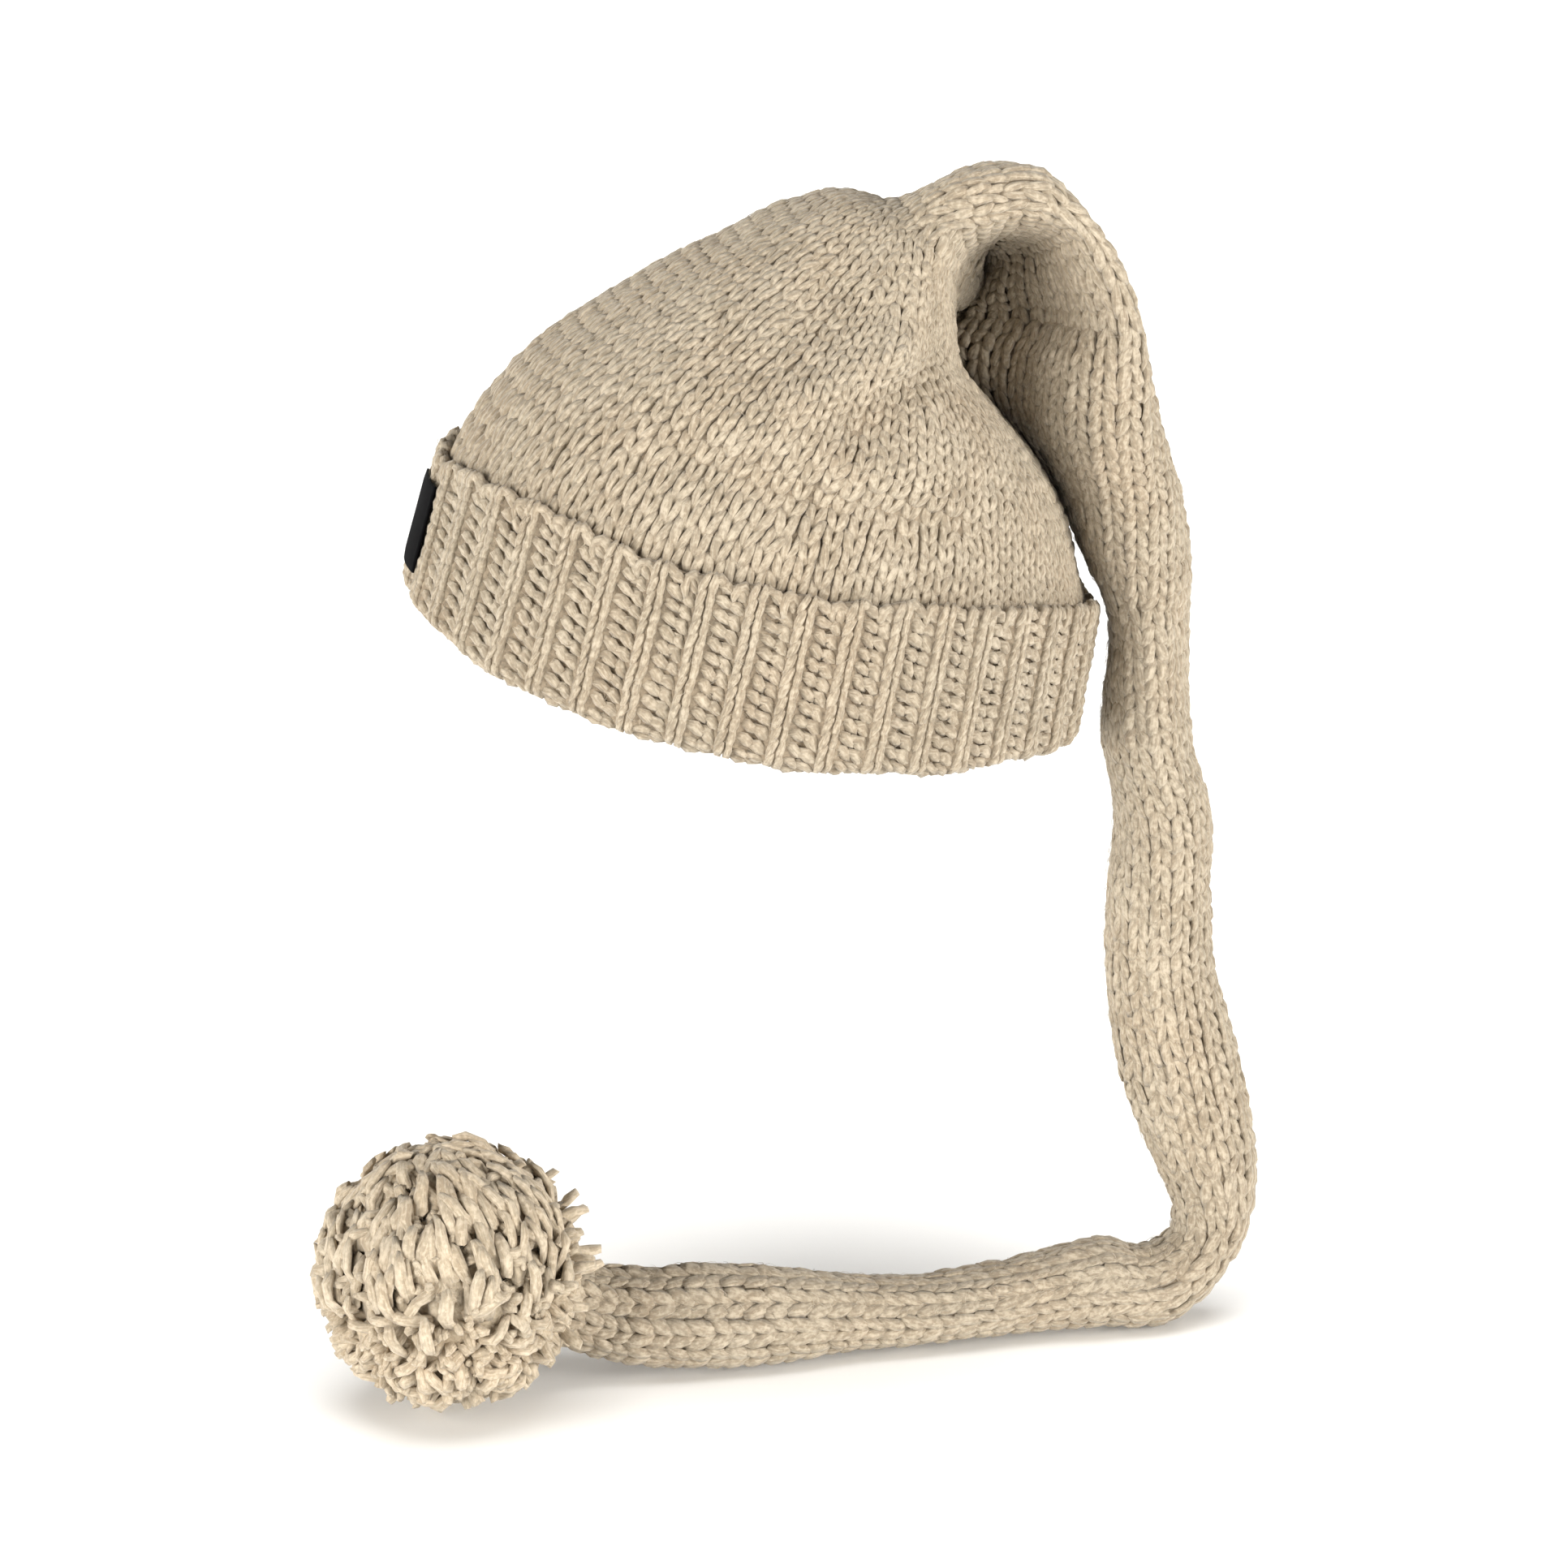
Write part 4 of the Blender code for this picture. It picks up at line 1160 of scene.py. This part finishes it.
def rib_rows(shares, crest, sink):
    """Position, directions and height of every row of the rib at some columns."""
    rib = bpy.context.scene.cap_cuff
    angle = share_angles(shares)
    path = cuff_path(angle, crest, sink)
    outer = FOLD_POINTS + 1
    found = []
    for start, end, count in ((0, 1, rib.inner_rows), (1, outer, rib.fold_rows),
                              (outer, outer + 1, rib.rows)):
        for k in range(count):
            for i, turn in enumerate(angle):
                grow, tall = path[:, start:end + 1, i]
                steps = np.hypot(np.diff(grow), np.diff(tall))
                run = np.concatenate(((0,), np.cumsum(steps)))
                at = (k + 0.5) / count * run[-1] + np.array((0, -PROBE / 2, PROBE / 2))
                found.append((turn, *np.interp(at, run, grow), *np.interp(at, run, tall),
                              run[-1] / count))
    turn, grow, grow_low, grow_high, tall, tall_low, tall_high, height = np.array(found).T
    here = rim_points(turn, grow, tall)
    up = unit(rim_points(turn, grow_high, tall_high) - rim_points(turn, grow_low, tall_low))
    beside = unit(rim_points(turn + TURN_PROBE, grow, tall)
                  - rim_points(turn - TURN_PROBE, grow, tall))
    return here, up, unit(np.cross(beside, up)), height


def leaned(up, normal, degrees):
    """Column directions leaned to the right by an angle, seen from outside."""
    across = unit(np.cross(up, normal))
    turn = np.radians(degrees)
    return up * np.cos(turn) + across * np.sin(turn)


class CAP_OT_cuff(bpy.types.Operator):
    """Builds the folded rib cuff: its wall, its strands, its purl bumps and its edge"""
    bl_idname = "cap.cuff"
    bl_label = "Cuff"

    def execute(self, context):
        strand_size = context.scene.cap_cuff.strand
        ring = rim_points(np.linspace(0, 2 * math.pi, OUTLINE_STEPS), CUFF_THICKNESS, 0.0)
        around = np.linalg.norm(np.diff(ring, axis=0), axis=1).sum()
        self.wall()
        self.columns("rib_strands", "rib leg", LEG_COLUMNS, strand_size, strand_size,
                     1.0, LEG_SINK, turn=0.07, growth=0.06, seed=11)
        self.columns("rib_purls", "purl bump", PURL_COLUMNS, around / RIB_COUNT * PURL_WIDTH,
                     PURL_DEPTH, PURL_CREST, PURL_SINK, turn=0.17, growth=0.13, seed=12)
        self.edge()
        return {"FINISHED"}

    def columns(self, name, shape, table, width, depth, crest, sink, **chances):
        """Sets a shape out in every row of some columns of each rib."""
        groups = []
        for offset, lean, rise, wide, tall, raised in table:
            here, up, normal, height = rib_rows(cuff_shares(1, offset), crest, sink)
            size = np.stack((np.full(len(here), width * wide), height * tall,
                             np.full(len(here), depth * raised)), -1)
            groups.append((here + up * (height * rise)[:, None],
                           facing(leaned(up, normal, lean), normal), size))
        here, turns, size = (np.concatenate(part) for part in zip(*groups))
        piece = set_out(name, here, turns, size, shape_mesh(shape), knit_wool("rib wool"),
                        **chances)
        dress(piece, "rib_wool", "cuff")

    def wall(self):
        """The wall behind the rib's strands, darker with painted shade."""
        shares = cuff_shares(WALL_COLUMNS)
        angle = share_angles(shares)
        grows, heights = cuff_path(angle, rib_crest(shares), CUFF_INSET)
        inner = KNIT_WALL + TUCK_GAP
        rings = [rim_points(angle, grow, height) for grow, height in zip(grows, heights)]
        rings += [rim_points(angle, inner + CUFF_LAYER * BRIM_PLACE, heights[-1] + BRIM_RISE),
                  rim_points(angle, inner, heights[-1] - EDGE_ROUND / 2),
                  rim_points(angle, inner, heights[0])]
        count, sides = len(rings), len(angle)
        faces = []
        for k in range(count):
            n = (k + 1) % count
            for i in range(sides):
                j = (i + 1) % sides
                faces.append((k * sides + j, n * sides + j, n * sides + i, k * sides + i))
        mesh = plain_mesh("cuff_wall", np.concatenate(rings), faces)
        dress(plain_object(mesh, painted_shade_backing()), "rib_wool", "cuff")

    def edge(self):
        """The chain of bound-off stitches that lies along the upper edge."""
        shares = cuff_shares(EDGE_LOOPS, EDGE_SHIFT)
        angle = share_angles(shares)
        top = CUFF_HEIGHT - edge_dips(angle)[1] + SCALLOP * (rib_crest(shares) - 1)
        grow = KNIT_WALL + TUCK_GAP + CUFF_LAYER * EDGE_PLACE
        here = rim_points(angle, grow, top - EDGE_SINK)
        edge = rim_points(angle, grow, top)
        outward = unit(rim_points(angle, grow + PROBE, top) - edge)
        rise = unit(rim_points(angle, grow, top + PROBE) - edge)
        step = np.linalg.norm(np.roll(here, -1, axis=0) - here, axis=1)
        tall = np.full(len(step), EDGE_SIZE)
        size = np.stack((step, tall, tall), -1)
        chain = set_out("cuff_edge", here, facing(rise, outward), size, shape_mesh("edge loop"),
                        knit_wool("rib wool"), turn=0.20, growth=0.16, seed=13)
        dress(chain, "rib_wool", "cuff")


class CAP_OT_label(bpy.types.Operator):
    """Builds the small black woven label, left bare"""
    bl_idname = "cap.label"
    bl_label = "Label"

    def execute(self, context):
        half_turn = LABEL_WIDTH / (HEAD_WIDTH + 2 * CUFF_THICKNESS)
        angle = half_turn * np.linspace(-1, 1, LABEL_STEPS + 1)
        low = (CUFF_HEIGHT - LABEL_HEIGHT) / 2 - LABEL_DROP
        verts = []
        for layer in (1, 0):
            for j in range(LABEL_ROWS + 1):
                inward = min(j / 2, (LABEL_ROWS - j) / 2, 1)
                thick = LABEL_THICKNESS * (LABEL_EDGE + (1 - LABEL_EDGE) * inward) * layer
                verts += rim_points(angle, CUFF_THICKNESS + LABEL_GAP + thick,
                                    low + LABEL_HEIGHT * j / LABEL_ROWS).tolist()
        wide = LABEL_STEPS + 1
        half = len(verts) // 2
        faces = []
        for j in range(LABEL_ROWS):
            for i in range(LABEL_STEPS):
                quad = (j * wide + i, j * wide + i + 1, (j + 1) * wide + i + 1, (j + 1) * wide + i)
                faces += [quad, tuple(v + half for v in quad[::-1])]
        border = list(range(wide)) + [j * wide + LABEL_STEPS for j in range(1, LABEL_ROWS + 1)]
        border += [LABEL_ROWS * wide + i for i in range(LABEL_STEPS - 1, -1, -1)]
        border += [j * wide for j in range(LABEL_ROWS - 1, 0, -1)]
        faces += [(b, a, a + half, b + half) for a, b in zip(border, border[1:] + border[:1])]
        mesh = plain_mesh("woven_label", verts, faces)
        dress(plain_object(mesh, self.finish(context)), "label_weave", "label")
        return {"FINISHED"}

    def finish(self, context):
        """Black tape with a fine twill."""
        colour = context.scene.cap_label.colour
        material, tree, shader = new_material("woven tape", TAPE_SHADER)
        where = new_node(tree, "ShaderNodeTexCoord")["Object"]
        twill = new_node(tree, "ShaderNodeTexWave", {"Vector": where, **TAPE_TWILL},
                         bands_direction="DIAGONAL")["Fac"]
        shades = [(*times(colour, share), 1.0) for share in TAPE_SHADES]
        shade = new_node(tree, "ShaderNodeMix", {0: twill, 6: shades[0], 7: shades[1]},
                         data_type="RGBA")[2]
        bump = new_node(tree, "ShaderNodeBump", {"Height": twill, **TAPE_BUMP})[0]
        tree.links.new(shade, shader.inputs["Base Color"])
        tree.links.new(bump, shader.inputs["Normal"])
        return material


class CAP_OT_pompom(bpy.types.Operator):
    """Builds the pompom from cut ends of yarn round a core"""
    bl_idname = "cap.pompom"
    bl_label = "Pompom"

    def execute(self, context):
        settings = context.scene.cap_pompom
        knit = context.scene.cap_knit
        chance = np.random.default_rng(knit.seed + 20)
        centre = pompom_centre()
        sections, _ = all_sections()
        seat = unit(sections[-1][:3] - centre)
        steps = np.arange(settings.ends) + 0.5
        height = 1 - 2 * steps / settings.ends
        turn = GOLDEN_TURN * steps
        flat = np.sqrt(1 - height * height)
        rays = np.stack((flat * np.cos(turn), flat * np.sin(turn), height), -1)
        rays = unit(rays + chance.normal(0, END_SPREAD, rays.shape))
        rays = rays[rays @ seat < math.cos(SEAT_FREE)]
        count = len(rays)
        lean = unit(rays + chance.normal(0, END_LEAN, rays.shape))
        side = unit(np.cross(lean, unit(chance.normal(0, 1, rays.shape))))
        reach = POMPOM_RADIUS * (1 - END_START) * chance.uniform(*END_REACH, count)
        stray = ((chance.random(count) < STRAY_SHARE) & (rays @ seat > STRAY_SEAT)
                 & (rays[:, 2] > STRAY_LOW))
        reach *= np.where(stray, STRAY_REACH, 1.0)
        reach *= np.where(rays[:, 2] < UNDER_LEVEL, UNDER_REACH, 1.0)
        swept = unit(np.array(SWEPT))
        along = unit(swept - rays * (rays @ swept)[:, None])
        facing_up = np.clip(rays @ swept * COMBED_SLOPE + COMBED_START, 0, 1)
        combed = (chance.random(count) < COMBED_SHARE * facing_up) & ~stray
        side = np.where(combed[:, None], np.cross(lean, along), side)
        places = centre + rays * POMPOM_RADIUS * END_START
        # Its deep wool is lighter than its main wool: painted light on the low parts of the ends
        finish = wool("pompom wool", times(knit.light, POMPOM_LIGHT),
                      times(knit.middle, POMPOM_MIDDLE), times(knit.deep, POMPOM_DEEP),
                      streak=POMPOM_STREAK)
        thick = settings.yarn / 2 / END_RADIUS
        thirds = np.arange(count) % len(END_BENDS)
        groups = [("yarn_ends_%d" % (k + 1), ~combed & (thirds == k),
                   shape_mesh("yarn end", bend * reach.mean() / thick * BEND_REACH), 0.12)
                  for k, bend in enumerate(END_BENDS)]
        groups.append(("combed_ends", combed, shape_mesh("combed end"), 0.26))
        for index, (name, pick, shape, loose) in enumerate(groups):
            wide = np.full(pick.sum(), thick)
            piece = set_out(name, places[pick], facing(side[pick], lean[pick]),
                            np.stack((wide, wide, reach[pick]), -1), shape, finish,
                            turn=loose, growth=0.10, seed=21 + index, **POMPOM_STRAY)
            dress(piece, "pompom_yarn", "pompom")
        rays = unit(chance.normal(0, 1, (settings.bows, 3)))
        rays = rays[rays @ seat < math.cos(SEAT_FREE_BOWS)]
        over = unit(np.cross(rays, unit(chance.normal(0, 1, rays.shape))))
        long = chance.uniform(*BOW_LENGTH, len(rays))
        wide = np.full(len(rays), settings.yarn / BOW_RADIUS)
        bows = set_out("yarn_bows", centre + rays * POMPOM_RADIUS * BOW_LEVEL,
                       facing(over, rays), np.stack((wide, long, wide), -1),
                       shape_mesh("yarn bow"), finish, turn=0.25, growth=0.12, seed=25,
                       **POMPOM_STRAY)
        dress(bows, "pompom_yarn", "pompom")
        inner = times(knit.middle, CORE_LIGHT)
        core = plain_object(ball_mesh("pompom_core", centre, POMPOM_RADIUS * CORE_LEVEL),
                            wool("pompom core", inner, inner, tuple(knit.deep), own_uv=False))
        dress(core, "pompom_yarn", "pompom")
        return {"FINISHED"}


def ball_mesh(name, centre, radius):
    """A round core of rings that close at two poles."""
    verts = [centre + (0, 0, -radius)]
    for k in range(1, CORE_RINGS):
        turn = math.pi * k / CORE_RINGS
        for i in range(CORE_SIDES):
            angle = 2 * math.pi * i / CORE_SIDES
            verts.append(centre + radius * np.array((math.sin(turn) * math.cos(angle),
                                                     math.sin(turn) * math.sin(angle),
                                                     -math.cos(turn))))
    verts.append(centre + (0, 0, radius))
    last = 1 + (CORE_RINGS - 2) * CORE_SIDES
    faces = []
    for i in range(CORE_SIDES):
        j = (i + 1) % CORE_SIDES
        faces.append((0, 1 + j, 1 + i))
        for base in range(1, last, CORE_SIDES):
            faces.append((base + i, base + j, base + CORE_SIDES + j, base + CORE_SIDES + i))
        faces.append((last + i, last + j, len(verts) - 1))
    return plain_mesh(name, verts, faces)


class CAP_OT_fuzz(bpy.types.Operator):
    """Strews loose fibres over the knit, more of them where it is felted"""
    bl_idname = "cap.fuzz"
    bl_label = "Fuzz"

    def execute(self, context):
        fuzz = context.scene.cap_fuzz
        chance = np.random.default_rng(context.scene.cap_knit.seed + 40)
        body = body_surface()
        places = body["places"]
        chart = knit_chart(body)
        crown = chart_frames(body, chart, places["ledge"], places["root"], 0.0)
        tail = chart_frames(body, chart, places["root"], places["tip"], 0.0)
        shares = cuff_shares(FUZZ_COLUMNS)
        cuff = rib_rows(shares, rib_crest(shares), 0.0)
        cuff += cuff[-1:]
        finish = self.finish(context)
        parts = (("crown", crown, "body_wool", np.ones(len(crown[0]))),
                 ("tail", tail, "body_wool", FUZZ_PLAIN + felted(tail[5], tail[6], places)),
                 ("cuff", cuff, "rib_wool", np.ones(len(cuff[0]))))
        for index, (node, frames, slot, weight) in enumerate(parts):
            count = int(fuzz.fibres * FUZZ_SHARES[node])
            pick = chance.choice(len(frames[0]), count, p=weight / weight.sum())
            here, up, normal, width, height = (values[pick] for values in frames[:5])
            across = unit(np.cross(up, normal))
            shift = chance.uniform(-FUZZ_PLACE, FUZZ_PLACE, (2, count, 1))
            here = here + across * shift[0] * width[:, None] + up * shift[1] * height[:, None]
            turn = chance.normal(0, FUZZ_TURN, (count, 1))
            along = up * np.cos(turn) + across * np.sin(turn)
            long = fuzz.length * chance.uniform(*FUZZ_LENGTH, count)
            piece = set_out(node + "_fuzz", here, facing(along, normal),
                            np.repeat(long[:, None], 3, axis=1),
                            shape_mesh("fibre", thick=fuzz.thick / 2 / fuzz.length), finish,
                            turn=0.12, growth=0.20, wobble=0.0010, scale=320.0, seed=41 + index)
            dress(piece, slot, node)
        return {"FINISHED"}

    def finish(self, context):
        """Fibres from dark to nearly white."""
        knit = context.scene.cap_knit
        material, tree, shader = new_material("loose fibre", FIBRE_SHADER)
        ramp = tree.nodes.new("ShaderNodeValToRGB")
        ends = (times(knit.middle, FIBRE_DARK), times(knit.light, FIBRE_PALE))
        for stop, position, colour in zip(ramp.color_ramp.elements, FIBRE_STOPS, ends):
            stop.position = position
            stop.color = (*colour, 1.0)
        tone = new_node(tree, "ShaderNodeAttribute", attribute_name="tone")["Fac"]
        tree.links.new(tone, ramp.inputs["Fac"])
        tree.links.new(ramp.outputs["Color"], shader.inputs["Base Color"])
        return material


class CAP_OT_stage(bpy.types.Operator):
    """Lays the floor and sets the lights and the camera"""
    bl_idname = "cap.stage"
    bl_label = "Stage"

    def execute(self, context):
        stage = context.scene.cap_stage
        turns = [2 * math.pi * i / FLOOR_SIDES for i in range(FLOOR_SIDES)]
        level = -TAIL_DROP - FLOOR_GAP
        verts = [(FLOOR_RADIUS * math.cos(turn), FLOOR_RADIUS * math.sin(turn), level)
                 for turn in turns]
        finish = new_material("pale floor", {"Base Color": (*stage.floor, 1.0), **FLOOR_SHADER})[0]
        floor = plain_object(plain_mesh("floor", verts, [tuple(range(FLOOR_SIDES))]), finish)
        world = bpy.data.worlds.new("surroundings")
        world.use_nodes = True
        background = world.node_tree.nodes["Background"]
        background.inputs["Color"].default_value = SKY
        background.inputs["Strength"].default_value = stage.world
        context.scene.world = world
        lamps = {key: self.light(name, side, getattr(stage, key), colour)
                 for name, key, side, colour in LAMPS}
        backdrop = bpy.data.collections.new("backdrop")
        backdrop.objects.link(floor)
        lamps["backdrop"].light_linking.receiver_collection = backdrop
        context.scene.view_settings.view_transform = "Standard"
        self.camera(context)
        return {"FINISHED"}

    def light(self, name, side, power, colour):
        """A soft light that comes from one side, equally strong all over the floor."""
        lamp = bpy.data.lights.new(name, "SUN")
        lamp.energy = power
        lamp.color = colour
        lamp.angle = LAMP_ANGLE
        made = linked(name, lamp)
        back = unit(np.array(side))
        made.rotation_euler = facing(unit(np.cross(back, (0, 1, 0)))[None], back[None])[0]
        return made

    def camera(self, context):
        """The camera at the photograph's angle, aimed so the origin falls on its pixel."""
        forward = np.array((-math.sin(CAMERA_AZIMUTH) * math.cos(CAMERA_HEIGHT),
                            math.cos(CAMERA_AZIMUTH) * math.cos(CAMERA_HEIGHT),
                            -math.sin(CAMERA_HEIGHT)))
        right = np.array((math.cos(CAMERA_AZIMUTH), math.sin(CAMERA_AZIMUTH), 0.0))
        up = np.cross(right, forward)
        scale = FOCAL_PIXELS / CAMERA_DISTANCE
        aim = (-right * (ORIGIN_PIXEL[0] - IMAGE_SIZE / 2)
               + up * (ORIGIN_PIXEL[1] - IMAGE_SIZE / 2)) / scale
        data = bpy.data.cameras.new("camera")
        data.sensor_width = SENSOR
        data.lens = FOCAL_PIXELS * SENSOR / IMAGE_SIZE
        data.clip_end = VIEW_END
        made = linked("camera", data)
        made.location = aim - forward * CAMERA_DISTANCE
        made.rotation_euler = facing(up[None], -forward[None])[0]
        context.scene.camera = made


GROUPS = (("cap_knit", CapKnit), ("cap_cuff", CapCuff), ("cap_pompom", CapPompom),
          ("cap_fuzz", CapFuzz), ("cap_label", CapLabel), ("cap_stage", CapStage))
STEPS = (CAP_OT_body, CAP_OT_cuff, CAP_OT_label, CAP_OT_pompom, CAP_OT_fuzz, CAP_OT_stage)


class CAP_PT_panel(bpy.types.Panel):
    """Lists the cap's pieces and their settings"""
    bl_idname = "CAP_PT_panel"
    bl_label = "Stocking cap"
    bl_space_type = "VIEW_3D"
    bl_region_type = "UI"
    bl_category = "Cap"

    def draw(self, context):
        for step in STEPS:
            self.layout.operator(step.bl_idname)
        for key, group in GROUPS:
            box = self.layout.box()
            settings = getattr(context.scene, key)
            for name in group.__annotations__:
                box.prop(settings, name)


def register():
    """Registers the settings, the operators and the panel."""
    for key, group in GROUPS:
        bpy.utils.register_class(group)
        setattr(bpy.types.Scene, key, PointerProperty(type=group))
    for item in STEPS + (CAP_PT_panel,):
        bpy.utils.register_class(item)


def unregister():
    """Takes them away again."""
    for item in reversed(STEPS + (CAP_PT_panel,)):
        bpy.utils.unregister_class(item)
    for key, group in reversed(GROUPS):
        delattr(bpy.types.Scene, key)
        bpy.utils.unregister_class(group)


def main():
    """Builds every piece and the stage."""
    register()
    bpy.ops.cap.body()
    bpy.ops.cap.cuff()
    bpy.ops.cap.label()
    bpy.ops.cap.pompom()
    bpy.ops.cap.fuzz()
    bpy.ops.cap.stage()
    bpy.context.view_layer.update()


if __name__ == "__main__":
    main()
